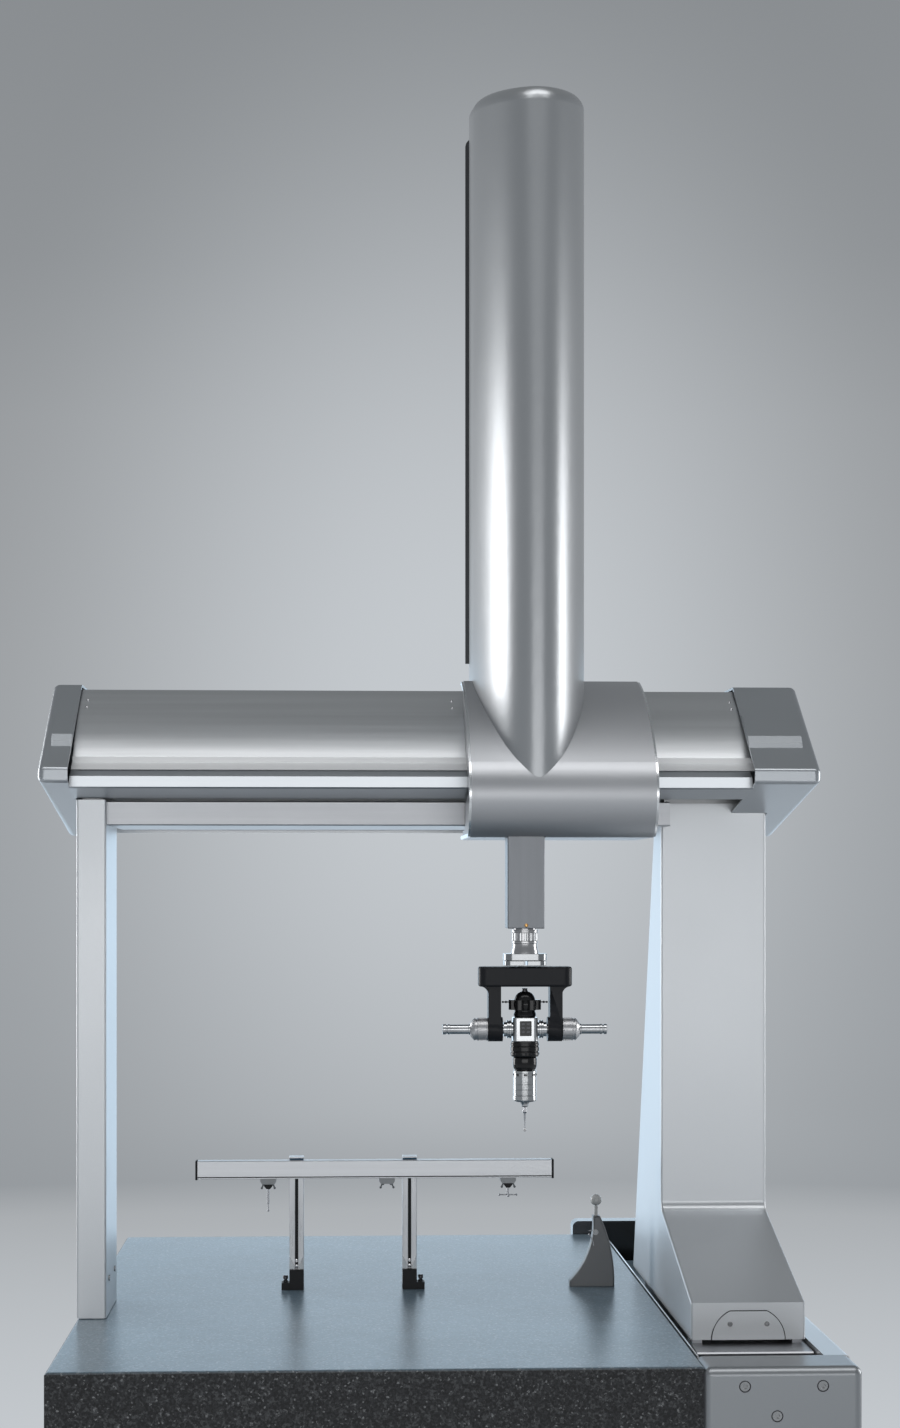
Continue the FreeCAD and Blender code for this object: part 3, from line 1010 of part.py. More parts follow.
# Head
def build_head():
    """Adapter, turning yoke, tilting block, touch probe and stylus."""
    adapter = new_body("head_adapter", ("ram_x", "ram_y", "table_top"))
    revolve(adapter, [(0, "ram_bottom"), (17.5, "ram_bottom"), (17.5, "ram_bottom - 6"), (16, "ram_bottom - 8"),
                      (16, "ram_bottom - 26"), (17.5, "ram_bottom - 28"), (17.5, "ram_bottom - 32"),
                      (0, "ram_bottom - 32")])
    flange = new_body("head_flange")
    pad(flange, "XY", "yoke_top + 1.4", "ram_bottom - 32", [rect("ram_x - 27.5", "ram_y - 20", "ram_x + 27.5", "ram_y + 20")])
    dress(flange, "Fillet", "9", lambda edge: along("z", edge))
    dress(flange, "Chamfer", "2", lambda edge: at("ram_bottom - 32", "z", edge))
    pivot = new_body("head_pivot", ("ram_x", "ram_y", "table_top"))
    revolve(pivot, [(0, "yoke_top - 14"), (8, "yoke_top - 14"), (8, "yoke_top + 1.4"), (0, "yoke_top + 1.4")])
    brass = [item for item in PARTS if item.Label == "ram_brass_screw"][0]
    gather("head_mount", adapter, flange, pivot, brass)

    yoke = new_body("head_yoke")
    half, arm = "yoke_width / 2", "yoke_width / 2 - yoke_arm"
    under = "yoke_top - yoke_bar"
    low = "tilt_height - boss_radius"
    front, back = "ram_y - yoke_depth / 2", "ram_y + yoke_depth / 2"
    pad(yoke, "XZ", front, back, [rect("ram_x - " + half, under, "ram_x + " + half, "yoke_top")])
    dress(yoke, "Fillet", "12", lambda edge: along("z", edge))
    dress(yoke, "Fillet", "3", lambda edge: at("yoke_top", "z", edge) or at(under, "z", edge))
    for way in (-1, 1):
        outer = "(ram_x + %d * (yoke_width / 2 - arm_inset))" % way
        arm = "(%s - %d * yoke_arm)" % (outer, way)
        boss = "(%s - %d * boss_step)" % (arm, way)
        outline = [("ram_y - boss_radius + 1.5", "tilt_height"), ("ram_y + boss_radius - 1.5", "tilt_height"),
                   ("ram_y + yoke_depth / 2 - 4", under + " + 1"), ("ram_y - yoke_depth / 2 + 4", under + " + 1")]
        pad(yoke, "YZ", *sorted((arm, outer), key=num), [outline])
        pad(yoke, "YZ", *sorted((boss, outer), key=num), circles=[("ram_y", "tilt_height", "boss_radius")])
        reach, inside = "%s + %d * 8" % (outer, way), "%s - %d" % (outer, way)
        pad(yoke, "XZ", "ram_y - 11", "ram_y + 11", [[
            (outer, under + " - 8", "%d * 11" % -way), (reach, under), (reach, under + " + 1"),
            (inside, under + " + 1"), (inside, under + " - 8")]])
    pocket(yoke, "YZ", "ram_x - yoke_width", "ram_x + yoke_width", circles=[("ram_y", "tilt_height", "6 + running_gap")])
    pocket(yoke, "XY", under + " - 1", "yoke_top + 1", circles=[("ram_x", "ram_y", "8 + running_gap")])

    housings, tubes = [], []
    for way in (-1, 1):
        start = ("ram_x + %d * (yoke_width / 2 - arm_inset)" % way, "ram_y", "tilt_height")
        r, neck = "side_housing_radius", "23"
        housings.append(lathe([(0, 0), (r + " - 1", 0), (r, 1), (r, 13), (r + " - 1", 14), (r + " - 1", 16), (r, 17),
                               (r + " - 1", 18.5), (7.5, neck), (0, neck)], start, (way, 0, 0)))
        reach = "side_span - yoke_width / 2 + arm_inset"
        tubes.append(lathe([(0, neck), (6.5, neck), (6.5, 31), (5.8, 32), (5.8, 33), (6.5, 34), (6.5, reach + " - 6"),
                            (5.8, reach + " - 5"), (6.5, reach + " - 4"), (6.5, reach + " - 1"),
                            (5.5, reach), (0, reach)], start, (way, 0, 0)))
    group("tilt_side_units", [housing.fuse(tube) for housing, tube in zip(housings, tubes)])

    block = new_body("head_block")
    w = "block_width / 2"
    pad(block, "XY", "tilt_height - 15", "tilt_height + 15", [rect("ram_x - " + w, "ram_y - 15", "ram_x + " + w, "ram_y + 15")])
    dress(block, "Fillet", "5", lambda edge: along("z", edge))
    trunnions = []
    for way in (-1, 1):
        start = ("ram_x + block_width / 2 * %d" % way, "ram_y", "tilt_height")
        inner = "yoke_width / 2 - arm_inset - yoke_arm - boss_step - block_width / 2"
        end = inner + " + boss_step + yoke_arm - 0.5"
        trunnions.append(lathe([(0, 0), (9, 0), (9, 2), (11.5, 2.5), (11.5, 7), (9.5, 7.5), (9.5, inner + " - 1"),
                                (6, inner + " - 1"), (6, end), (0, end)], start, (way, 0, 0)))
    gather("probe_head_block", block, group("tilt_trunnions", trunnions))
    knob = new_body("head_lock_knob", ("ram_x", "ram_y", "table_top + tilt_height + 15"))
    revolve(knob, [(0, 0), (13, 0), (14.5, 3), (14.5, 8), (16, 12), (16, 20), (13.3, 23), (13, 26), (10, 30), (5, 32),
                   (4, 33), (4, "knob_height - 2"), (2.5, "knob_height"), (0, "knob_height")])
    planes = {feature.Role: feature for feature in knob.Origin.OriginFeatures}
    pin = knob.newObject("PartDesign::AdditiveCylinder", "Pin")
    pin.Radius = 0.9
    pin.Height = 59
    pin.AttachmentSupport = [(planes["YZ_Plane"], "")]
    pin.MapMode = "FlatFace"
    pin.AttachmentOffset = FreeCAD.Placement(Vector(0, 19.5, -29.5), FreeCAD.Rotation())
    lobe = knob.newObject("PartDesign::AdditiveCylinder", "Lobe")
    lobe.Radius = 5.2
    lobe.Height = 13
    lobe.AttachmentSupport = [(planes["XY_Plane"], "")]
    lobe.MapMode = "FlatFace"
    lobe.AttachmentOffset = FreeCAD.Placement(Vector(15.6, 0, 9), FreeCAD.Rotation())
    doc.recompute()
    lobes = knob.newObject("PartDesign::PolarPattern", "Lobes")
    lobes.Originals = [lobe]
    lobes.Axis = (planes["Z_Axis"], [""])
    lobes.Angle = 360
    lobes.Occurrences = 6
    knob.Tip = lobes
    ring = new_body("probe_ring", ("ram_x", "ram_y", "table_top"))
    revolve(ring, [(0, "tilt_height - 15"), (17, "tilt_height - 15"), (18.5, "tilt_height - 17"), (18.5, "tilt_height - 26"),
                   (17, "tilt_height - 27"), (17, "tilt_height - 28"), (18.5, "tilt_height - 29"),
                   (18.5, "tilt_height - 33"), (16, "tilt_height - 35"), (0, "tilt_height - 35")])
    dome = new_body("probe_dome", ("ram_x", "ram_y", "table_top"))
    revolve(dome, [(0, "tilt_height - 35"), (14, "tilt_height - 35"), (15.5, "tilt_height - 38"), (15.5, "probe_bottom + 44"),
                   (13, "probe_bottom + 40"), (0, "probe_bottom + 40")])
    gather("probe_mount", ring, dome)
    probe = new_body("touch_probe", ("ram_x", "ram_y", "table_top"))
    r, b = "probe_radius", "probe_bottom"
    bore = "stylus_radius + running_gap"
    revolve(probe, [(0, b + " + 40"), (r + " - 1", b + " + 40"), (r, b + " + 39"), (r, b + " + 10"), (r + " - 1", b + " + 9"),
                    (r + " - 1", b + " + 7"), (r, b + " + 6"), (r, b + " + 2"), (r + " - 2", b), (8, b), (5, b + " - 7"),
                    (bore, b + " - 7"), (bore, b + " + 12"), (0, b + " + 12")])
    stylus = new_body("stylus_stem", ("ram_x", "ram_y", "table_top"))
    s, tip = "stylus_radius", "stylus_tip"
    revolve(stylus, [(0, b + " + 8"), (s, b + " + 8"), (s, b + " - 10.3"), (3, b + " - 10.3"), (3, b + " - 15"), (s, b + " - 16"),
                     (s, b + " - 26"), (0.9, b + " - 27"), (0.9, tip + " + 2 * ball_radius - 0.3"), (0, tip + " + 2 * ball_radius - 0.3")])
    ball = doc.addObject("Part::Sphere", "Ball")
    bind(ball, "Radius", "ball_radius")
    place(ball, "ram_x", "ram_y", "table_top + stylus_tip + ball_radius")
    gather("stylus", stylus, keep(ball, "stylus_ball"))


# Rack and reference sphere
def build_rack():
    """Stylus rack: bar, end caps, posts, feet, clamps, garages and the styli that it holds."""
    bar = new_body("rack_bar")
    front, back = "rack_y - rack_depth / 2", "rack_y + rack_depth / 2"
    end = "(rack_left + rack_length)"
    pad(bar, "YZ", "rack_left", end, [rect(front, "rack_bottom", back, "rack_bottom + rack_height")])
    dress(bar, "Chamfer", "1.2", lambda edge: along("x", edge))
    pocket(bar, "YZ", "rack_left - 1", end + " + 1", [rect(
        "rack_y - 3", "rack_bottom - 1", "rack_y + 3", "rack_bottom + 6")])
    caps = []
    for x in ("rack_left - 3", end):
        caps.append(box((x, x + " + 3"), (front, back), ("rack_bottom", "rack_bottom + rack_height")))
    posts, feet, clamps = [], [], []
    for x, way in (("post_left", -1), ("post_right", 1)):
        w = ("%s - post_width / 2" % x, "%s + post_width / 2" % x)
        depth = (back, back + " + post_width")
        post = box(w, depth, ("6", "rack_bottom + rack_height"))
        for side in (back + " + post_width - 3", ):
            post = post.cut(box(("%s - 3" % x, "%s + 3" % x), (side, side + " + 4"), ("0", "rack_bottom + rack_height + 1")))
        post = post.cut(box(("%s - 3" % x, "%s + 3" % x), (back + " - 1", back + " + 3"), ("0", "rack_bottom")))
        posts.append(post)
        rear = back + " + post_width"
        foot = box(w, (back + " - 6", rear + " + 6"), ("0", "6"))
        for y in ((back + " - 6", back), (rear, rear + " + 6")):
            foot = foot.fuse(box(w, y, ("0", "28")))
        side, screw_x = (w[0], "%s - 5.5" % w[0]) if way < 0 else (w[1], "%s + 5.5" % w[1])
        arm = sorted((side, "%s + %d" % (side, 11 * way)), key=num)
        foot = foot.fuse(box(arm, (back + " - 6", back + " + 14"), ("0", "10")))
        foot = foot.fuse(rod(screw_x, back + " + 2", "10", "3.5", "10", (0, 0, 1)))
        feet.append(foot.removeSplitter())
        top = "rack_bottom + rack_height"
        clamps.append(box((w[0] + " + 1", w[1] + " - 1"), (front + " + 3", back + " + post_width - 4"), (top, top + " + 4")))
    group("rack_posts", posts)
    group("rack_feet", feet + clamps + caps)
    garages = []
    for x in RACK_PLACES:
        body = box((x + " - 11", x + " + 11"), ("rack_y - 12", "rack_y + 10"), ("rack_bottom - 14", "rack_bottom"))
        fork = box((x + " - 4", x + " + 4"), ("rack_y - 13", "rack_y + 2"), ("rack_bottom - 15", "rack_bottom - 6"))
        garages.append(body.cut(fork))
    group("rack_garages", garages)
    bottom = "rack_bottom - 14"
    straight = lathe([(0, -6), (3.6, -6), (3.6, 0), (1.6, 0), (1.6, 22), (0.8, 23), (0.8, 31), (0, 31)],
                     (RACK_PLACES[0], "rack_y - 4", "rack_bottom - 6 - 6.3"), (0, 0, -1))
    ball = Part.makeSphere(1.6, Vector(num(RACK_PLACES[0]), num("rack_y - 4"), num("rack_bottom - 6 - 6.3 - 32")))
    star_at = (RACK_PLACES[2], "rack_y - 4", "rack_bottom - 6 - 6.3")
    star = lathe([(0, -6), (3.6, -6), (3.6, 0), (1.6, 0), (1.6, 15), (0, 15)], star_at, (0, 0, -1))
    hub = Vector(*[num(value) for value in star_at]) - Vector(0, 0, 12)
    for direction in ((1, 0, 0), (-1, 0, 0), (0, -1, 0), (0, 1, 0)):
        arm = Part.makeCylinder(0.8, 12, hub, Vector(*direction))
        tip = Part.makeSphere(1.5, hub + Vector(*direction) * 12)
        star = star.fuse(arm).fuse(tip)
    group("stored_styli", [straight.fuse(ball), star])


RACK_PLACES = ("rack_left + 98", "rack_left + 263", "rack_left + 432")


def build_sphere():
    """Reference sphere on its stem and horn-shaped stand."""
    left = "(sphere_x - horn_width * 0.6)"
    right = "(sphere_x + horn_width * 0.4)"
    stand = new_body("sphere_stand")
    outline = [(left, "0"), (right, "0"), (right, "12", "horn_height * 2.2"), ("sphere_x + 5", "horn_height"),
               ("sphere_x - 5", "horn_height", "-horn_height * 1.15"), (left, "8")]
    pad(stand, "XZ", "sphere_y - horn_thick / 2", "sphere_y + horn_thick / 2", [outline])
    dress(stand, "Chamfer", "2", lambda edge: (at("sphere_y - horn_thick / 2", "y", edge)
                                            or at("sphere_y + horn_thick / 2", "y", edge)) and not at("0", "z", edge))
    stem = doc.addObject("Part::Cylinder", "Stem")
    bind(stem, "Radius", "2.5")
    bind(stem, "Height", "sphere_z - sphere_radius - horn_height")
    place(stem, "sphere_x", "sphere_y", "table_top + horn_height")
    ball = doc.addObject("Part::Sphere", "Reference")
    bind(ball, "Radius", "sphere_radius")
    place(ball, "sphere_x", "sphere_y", "table_top + sphere_z")
    gather("reference_sphere", keep(stem, "sphere_stem"), keep(ball, "sphere_ball"))
    FASTENERS["base_screws"].append(rod("sphere_x - 2", "sphere_y - horn_thick / 2", "horn_height - 22", "4", "2.4", (0, -1, 0)))


# Drives
def build_drive(axis, at_point, direction):
    """Motor and friction wheel of one axis; the point is the middle of the motor's back."""
    r, length = "motor_radius", "motor_length"
    reach = "motor_length + wheel_width + 6"
    group(axis + "_drive_motor", [lathe([
        (0, 0), (r + " - 2", 0), (r, 2), (r, length + " - 2"), (r + " - 1", length), ("shaft_radius", length),
        ("shaft_radius", reach), (0, reach)], at_point, direction)])
    bore = "shaft_radius + running_gap"
    low, high = "motor_length + 3", "motor_length + 3 + wheel_width"
    group(axis + "_drive_wheel", [lathe([
        (bore, low), (8, low), (8, low + " + 2"), ("wheel_radius - 1", low + " + 2"), ("wheel_radius", low + " + 3"),
        ("wheel_radius", high + " - 1"), ("wheel_radius - 1", high), (bore, high)], at_point, direction)])


def build_drives():
    """Each axis is driven by a motor whose friction wheel runs on the rail, the beam or the ram."""
    build_drive("bridge", BRIDGE_WHEEL, (-1, 0, 0))
    build_drive("carriage", CARRIAGE_WHEEL, (0, 0, -1))
    build_drive("ram", RAM_WHEEL, (-1, 0, 0))


build_stand()
build_table()
build_guide_cover()
build_beam(*build_right_leg())
build_hood()
build_column()
build_ram_guides()
build_ram()
build_head()
build_rack()
build_sphere()
build_drives()
for label, shapes in FASTENERS.items():
    group(label, shapes)

doc.recompute()
for item in doc.Objects:
    if "Invalid" in item.State or "Error" in item.State:
        raise RuntimeError("%s (%s) did not build: %s" % (item.Name, item.Label, item.State))
labels = [item.Label for item in PARTS]
if len(set(labels)) != len(labels):
    raise RuntimeError("two parts share a name")
for item in PARTS:
    if item.Shape.isNull() or not item.Shape.isValid() or not item.Shape.Solids:
        raise RuntimeError(item.Label + " has no valid solid")

os.makedirs("parts", exist_ok=True)
for item in PARTS:
    item.Shape.exportStep("parts/%s.step" % item.Label)
    print("%-26s solids %2d  volume %10.0f" % (item.Label, len(item.Shape.Solids), item.Shape.Volume))
print(len(PARTS), "parts")
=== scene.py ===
"""Finishes, fine pieces, studio and camera for a coordinate measuring machine.

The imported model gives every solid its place. Each class below dresses one sub-assembly of the machine:
it gives its solids a finish, rounds their edges, and models the pieces that need a finer shape.
"""

import logging
import math
from dataclasses import dataclass
from enum import Enum
from typing import Any, Callable, Iterable, Optional, Sequence, Union

import bmesh
import bpy
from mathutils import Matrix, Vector


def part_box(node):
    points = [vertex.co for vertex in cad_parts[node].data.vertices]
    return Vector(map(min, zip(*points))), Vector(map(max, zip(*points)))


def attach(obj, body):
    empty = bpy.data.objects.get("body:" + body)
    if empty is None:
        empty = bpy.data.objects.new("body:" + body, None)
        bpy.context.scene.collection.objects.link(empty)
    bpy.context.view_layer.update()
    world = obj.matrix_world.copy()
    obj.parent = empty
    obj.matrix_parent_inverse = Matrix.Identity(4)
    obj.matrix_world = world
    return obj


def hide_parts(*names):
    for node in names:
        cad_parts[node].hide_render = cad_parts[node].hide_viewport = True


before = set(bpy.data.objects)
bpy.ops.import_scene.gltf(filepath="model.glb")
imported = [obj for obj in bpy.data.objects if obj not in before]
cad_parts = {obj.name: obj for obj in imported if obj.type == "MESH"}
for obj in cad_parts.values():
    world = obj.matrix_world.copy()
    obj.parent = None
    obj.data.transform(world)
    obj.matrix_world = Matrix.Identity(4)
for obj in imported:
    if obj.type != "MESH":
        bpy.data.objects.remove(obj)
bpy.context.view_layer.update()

logging.basicConfig(level=logging.INFO, format="%(name)s: %(message)s")
LOG = logging.getLogger("machine")

MILLIMETRE = 0.001
SMALLEST = 1e-6
ROUNDED_FROM = 30.0

Colour = tuple[float, float, float]
Number = Union[float, "Value"]

WHITE: Colour = (1.0, 1.0, 1.0)
PALE_BLUE: Colour = (0.60, 0.81, 1.0)


class Axis(Enum):
    """Direction in the machine's frame: across, away from the operator, and up."""

    X = (1.0, 0.0, 0.0)
    Y = (0.0, 1.0, 0.0)
    Z = (0.0, 0.0, 1.0)

    @property
    def vector(self) -> Vector:
        """The direction as a vector."""
        return Vector(self.value)

    @property
    def across(self) -> tuple[Vector, Vector]:
        """Two directions square to this one, in the order of a right-handed frame."""
        names = {"X": ("Y", "Z"), "Y": ("Z", "X"), "Z": ("X", "Y")}[self.name]
        return Axis[names[0]].vector, Axis[names[1]].vector


def operator(operation: str, swapped: bool = False) -> Callable[["Value", Number], "Value"]:
    """Operator that joins two shader values.

    Args:
        operation: Operation of the math node.
        swapped: Whether the operands change places.

    Returns:
        The method for the operator.
    """
    def join(self: "Value", other: Number) -> "Value":
        """The joined value."""
        operands = (other, self) if swapped else (self, other)
        return self.graph.node("ShaderNodeMath", {"operation": operation}, dict(enumerate(operands)))

    return join


class Value:
    """A shader socket that takes part in Python expressions."""

    def __init__(self, graph: "Graph", socket: bpy.types.NodeSocket) -> None:
        """Wrap an output socket."""
        self.graph = graph
        self.socket = socket

    __add__ = __radd__ = operator("ADD")
    __sub__ = operator("SUBTRACT")
    __rsub__ = operator("SUBTRACT", swapped=True)
    __mul__ = __rmul__ = operator("MULTIPLY")
    __truediv__ = operator("DIVIDE")
    __gt__ = operator("GREATER_THAN")
    __lt__ = operator("LESS_THAN")

    def between(self, low: float, high: float) -> "Value":
        """0 at low and 1 at high, with a smooth passage."""
        settings = {"interpolation_type": "SMOOTHSTEP"}
        inputs = {"Value": self, "From Min": low, "From Max": high}
        return self.graph.node("ShaderNodeMapRange", settings, inputs)


class Graph:
    """Node graph of one material."""

    def __init__(self, name: str) -> None:
        """Make an empty node material."""
        self.material = bpy.data.materials.new(name)
        self.material.use_nodes = True
        self.tree = self.material.node_tree
        self.tree.nodes.clear()

    def node(self, kind: str, settings: Optional[dict[str, Any]] = None,
             inputs: Optional[dict[Union[str, int], Any]] = None, output: Union[str, int] = 0) -> Value:
        """Make a node, set it up and connect it.

        Args:
            kind: Type name of the node.
            settings: Properties to set first; "stops" gives a colour ramp its (place, colour) pairs.
            inputs: Values or links of its input sockets, by name or number.
            output: The output socket to return.

        Returns:
            The output socket, wrapped.
        """
        made = self.tree.nodes.new(kind)
        for key, value in (settings or {}).items():
            if key == "stops":
                self._set_stops(made.color_ramp, value)
            else:
                setattr(made, key, value)
        for key, value in (inputs or {}).items():
            if isinstance(value, Value):
                self.tree.links.new(value.socket, made.inputs[key])
            else:
                made.inputs[key].default_value = value
        return Value(self, made.outputs[output])

    @staticmethod
    def _set_stops(ramp: bpy.types.ColorRamp, stops: Sequence[tuple[float, Colour]]) -> None:
        """Give a colour ramp its stops."""
        while len(ramp.elements) < len(stops):
            ramp.elements.new(1.0)
        for element, (place, colour) in zip(ramp.elements, stops):
            element.position = place
            element.color = (*colour, 1.0)

    def vector(self, operation: str, *operands: Union[Colour, Value], output: str = "Vector") -> Value:
        """Vector math on one or two places."""
        return self.node("ShaderNodeVectorMath", {"operation": operation}, dict(enumerate(operands)), output)

    def place(self, stretch: Colour = (1.0, 1.0, 1.0)) -> Value:
        """Place on the piece in metres, stretched along each axis."""
        return self.vector("MULTIPLY", self.node("ShaderNodeTexCoord", output="Object"), stretch)

    def part_of(self, spot: Value, axis: Axis) -> Value:
        """One coordinate of a place."""
        return self.node("ShaderNodeSeparateXYZ", inputs={0: spot}, output=axis.name)

    def noise(self, spot: Value, scale: float, detail: float = 2.0, roughness: float = 0.5) -> Value:
        """Cloudy noise around 0.5 with a scale in cells per metre."""
        inputs = {"Vector": spot, "Scale": scale, "Detail": detail, "Roughness": roughness}
        return self.node("ShaderNodeTexNoise", inputs=inputs)

    def cells(self, spot: Value, scale: float, output: str = "Distance") -> Value:
        """Cell pattern with a scale in cells per metre."""
        return self.node("ShaderNodeTexVoronoi", inputs={"Vector": spot, "Scale": scale}, output=output)

    def mix(self, share: Number, first: Union[Colour, Value], second: Union[Colour, Value]) -> Value:
        """Colour between two colours; a share of 0 gives the first and 1 the second."""
        ends = [value if isinstance(value, Value) else (*value, 1.0) for value in (first, second)]
        return self.node("ShaderNodeMix", {"data_type": "RGBA"}, {0: share, 6: ends[0], 7: ends[1]}, output=2)

    def shade(self, share: Value, colour: Colour, low: float, high: float) -> Value:
        """A colour made darker or paler as a share goes from 0 to 1."""
        ends = [tuple(min(part * factor, 1.0) for part in colour) for factor in (low, high)]
        return self.mix(share, ends[0], ends[1])

    def bump(self, height: Value, strength: float, distance: float) -> Value:
        """Normal that a height gives, with the height of one unit in metres as distance."""
        return self.node("ShaderNodeBump", inputs={"Strength": strength, "Distance": distance, "Height": height})

    def close(self, **sockets: Any) -> bpy.types.Material:
        """Finish with one surface shader; its sockets' names have underscores for spaces."""
        inputs = {name.replace("_", " "): value for name, value in sockets.items()}
        return self.finish(self.node("ShaderNodeBsdfPrincipled", inputs=inputs))

    def finish(self, surface: Value) -> bpy.types.Material:
        """Connect a shader to the material's output."""
        made = self.tree.nodes.new("ShaderNodeOutputMaterial")
        self.tree.links.new(surface.socket, made.inputs["Surface"])
        return self.material


@dataclass(frozen=True)
class Finish:
    """What every finish has: a name, a slot and a colour."""

    name: str
    slot: str
    colour: Colour

    @property
    def title(self) -> str:
        """Name of the material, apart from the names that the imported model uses."""
        return "finish_" + self.name

    def build(self) -> bpy.types.Material:
        """Make the material; each kind of finish does this its own way."""
        raise NotImplementedError

    def material(self) -> bpy.types.Material:
        """The material, made once."""
        return bpy.data.materials.get(self.title) or self.build()


@dataclass(frozen=True)
class Paint(Finish):
    """Sprayed paint, plain or with metal flakes."""

    metallic: float = 0.0
    roughness: float = 0.4
    flake: float = 0.0
    peel: float = 0.25

    def build(self) -> bpy.types.Material:
        """Paint with cloudy tone, fine flakes and the slight wave of a sprayed coat."""
        graph = Graph(self.title)
        spot = graph.place()
        cloud = graph.noise(spot, 3.5, 3.0)
        grain = graph.noise(spot, 1700.0, 1.0)
        tone = cloud * 0.5 + grain * self.flake + 0.25 - 0.5 * self.flake
        rough = (cloud - 0.5) * 0.10 + (grain - 0.5) * 0.18 * self.flake + self.roughness
        wave = graph.noise(spot, 260.0, 2.0) * 0.7 + grain * 0.3
        return graph.close(
            Base_Color=graph.shade(tone, self.colour, 0.93, 1.07), Metallic=self.metallic, Roughness=rough,
            Normal=graph.bump(wave, self.peel, 0.00012))


@dataclass(frozen=True)
class RolledSheet(Paint):
    """Painted sheet with the faint lines that rolling leaves along it."""

    def build(self) -> bpy.types.Material:
        """Paint over rolling lines, wide waves and fine flakes."""
        graph = Graph(self.title)
        lines = graph.noise(graph.place((0.02, 1.0, 1.0)), 75.0, 3.0, 0.55)
        waves = graph.noise(graph.place((0.06, 1.0, 1.0)), 26.0, 2.0, 0.5)
        grain = graph.noise(graph.place(), 1700.0, 1.0)
        tone = lines * 0.45 + waves * 0.35 + grain * 0.2
        return graph.close(
            Base_Color=graph.shade(tone, self.colour, 0.80, 1.20), Metallic=self.metallic,
            Roughness=(lines - 0.5) * 0.10 + (grain - 0.5) * 0.10 + self.roughness,
            Normal=graph.bump(waves * 0.8 + lines * 0.2, 0.5, 0.0012))


@dataclass(frozen=True)
class Brushed(Finish):
    """Metal with fine lines along one axis, as milled, ground or brushed."""

    along: Axis = Axis.X
    metallic: float = 1.0
    roughness: float = 0.3
    depth: float = 0.3

    def build(self) -> bpy.types.Material:
        """Metal whose tone, gloss and relief follow stretched noise."""
        graph = Graph(self.title)
        stretch = tuple(0.012 if part else 1.0 for part in self.along.value)
        lines = graph.noise(graph.place(stretch), 1500.0, 3.0, 0.6)
        wide = graph.noise(graph.place(stretch), 120.0, 2.0)
        cloud = graph.noise(graph.place(), 6.0, 3.0)
        tone = lines * 0.35 + wide * 0.35 + cloud * 0.3
        rough = (lines - 0.5) * 0.16 + (cloud - 0.5) * 0.12 + self.roughness
        return graph.close(
            Base_Color=graph.shade(tone, self.colour, 0.80, 1.20), Metallic=self.metallic, Roughness=rough,
            Normal=graph.bump(lines, self.depth, 0.00008))


@dataclass(frozen=True)
class Turned(Finish):
    """Turned or polished metal with rings round one axis."""

    axis: Axis = Axis.Z
    roughness: float = 0.12
    ring_scale: float = 900.0
    metallic: float = 1.0
    ring_and_reflection_contrast: float = 0.15

    def build(self) -> bpy.types.Material:
        """Polished metal with fine rings and faint handling marks; strong contrast in the rings' tone is painted
        reflection of dark bands.
        """
        graph = Graph(self.title)
        stretch = tuple(1.0 if part else 0.01 for part in self.axis.value)
        rings = graph.noise(graph.place(stretch), self.ring_scale, 2.0, 0.6)
        smear = graph.noise(graph.place(), 45.0, 4.0, 0.6)
        rough = (smear - 0.5) * 0.14 + (rings - 0.5) * 0.06 + self.roughness
        # Tone of the fine rings; the higher contrast of the chrome and plated finishes is painted reflection of dark
        # bands.
        tone = rings * 0.5 + smear * 0.5
        return graph.close(
            Base_Color=graph.shade(tone, self.colour, 1.0 - self.ring_and_reflection_contrast, 1.0 + self.ring_and_reflection_contrast),
            Metallic=self.metallic, Roughness=rough, Normal=graph.bump(rings, 0.25, 0.00004))


@dataclass(frozen=True)
class Stone(Finish):
    """Granite with dark and pale grains."""

    pale: Colour = (0.45, 0.46, 0.47)
    dark: Colour = (0.004, 0.004, 0.005)
    grey: Colour = (0.13, 0.135, 0.14)
    # Pale blue tone of the top: painted reflection of the blue back light.
    lapped_tone_and_reflection: Colour = (0.140, 0.205, 0.255)
    dot: Colour = (0.42, 0.46, 0.50)
    fleck: Colour = (0.06, 0.08, 0.10)
    grain: float = 430.0
    roughness: float = 0.30

    def build(self) -> bpy.types.Material:
        """Speckled stone, smoother on its lap-finished top; the top's paler blue tone is painted reflection of the blue
        back light.
        """
        graph = Graph(self.title)
        spot = graph.place()
        up = graph.part_of(graph.node("ShaderNodeNewGeometry", output="Normal"), Axis.Z)
        top = up.between(0.6, 0.9)
        speck = graph.part_of(graph.cells(spot, self.grain, "Color"), Axis.X)
        second = graph.part_of(graph.cells(spot, self.grain * 0.62, "Color"), Axis.Y)
        patch = graph.noise(spot, 330.0, 4.0, 0.75)
        cloud = graph.noise(spot, 11.0, 5.0, 0.65)
        body = graph.shade(patch.between(0.34, 0.66), self.colour, 0.25, 1.75)
        dull = graph.mix((speck < 0.30) * 0.8, body, self.dark)
        grey = graph.mix((second > 0.66) * patch.between(0.36, 0.60) * 0.45, dull, self.grey)
        bright = graph.mix((speck > 0.95) * patch.between(0.42, 0.62) * 0.55, grey, self.pale)
        # Painted reflection: the top takes a pale blue tone from the back light; the cloudy mottling over it is the
        # stone's own.
        lapped_tone_and_reflection = graph.shade(cloud * 0.6 + patch * 0.4, self.lapped_tone_and_reflection, 0.45, 1.55)
        dotted = graph.mix((speck > 0.90) * 0.5, lapped_tone_and_reflection, self.dot)
        fine = graph.mix((speck < 0.16) * 0.45, dotted, self.fleck)
        rough = self.roughness + (patch - 0.5) * 0.12 + (1.0 - top) * 0.30
        relief = patch * 0.6 + speck * 0.4
        return graph.close(
            Base_Color=graph.mix(top, bright, fine), Roughness=rough,
            Normal=graph.bump(relief * (1.0 - top * 0.85), 0.5, 0.0004))


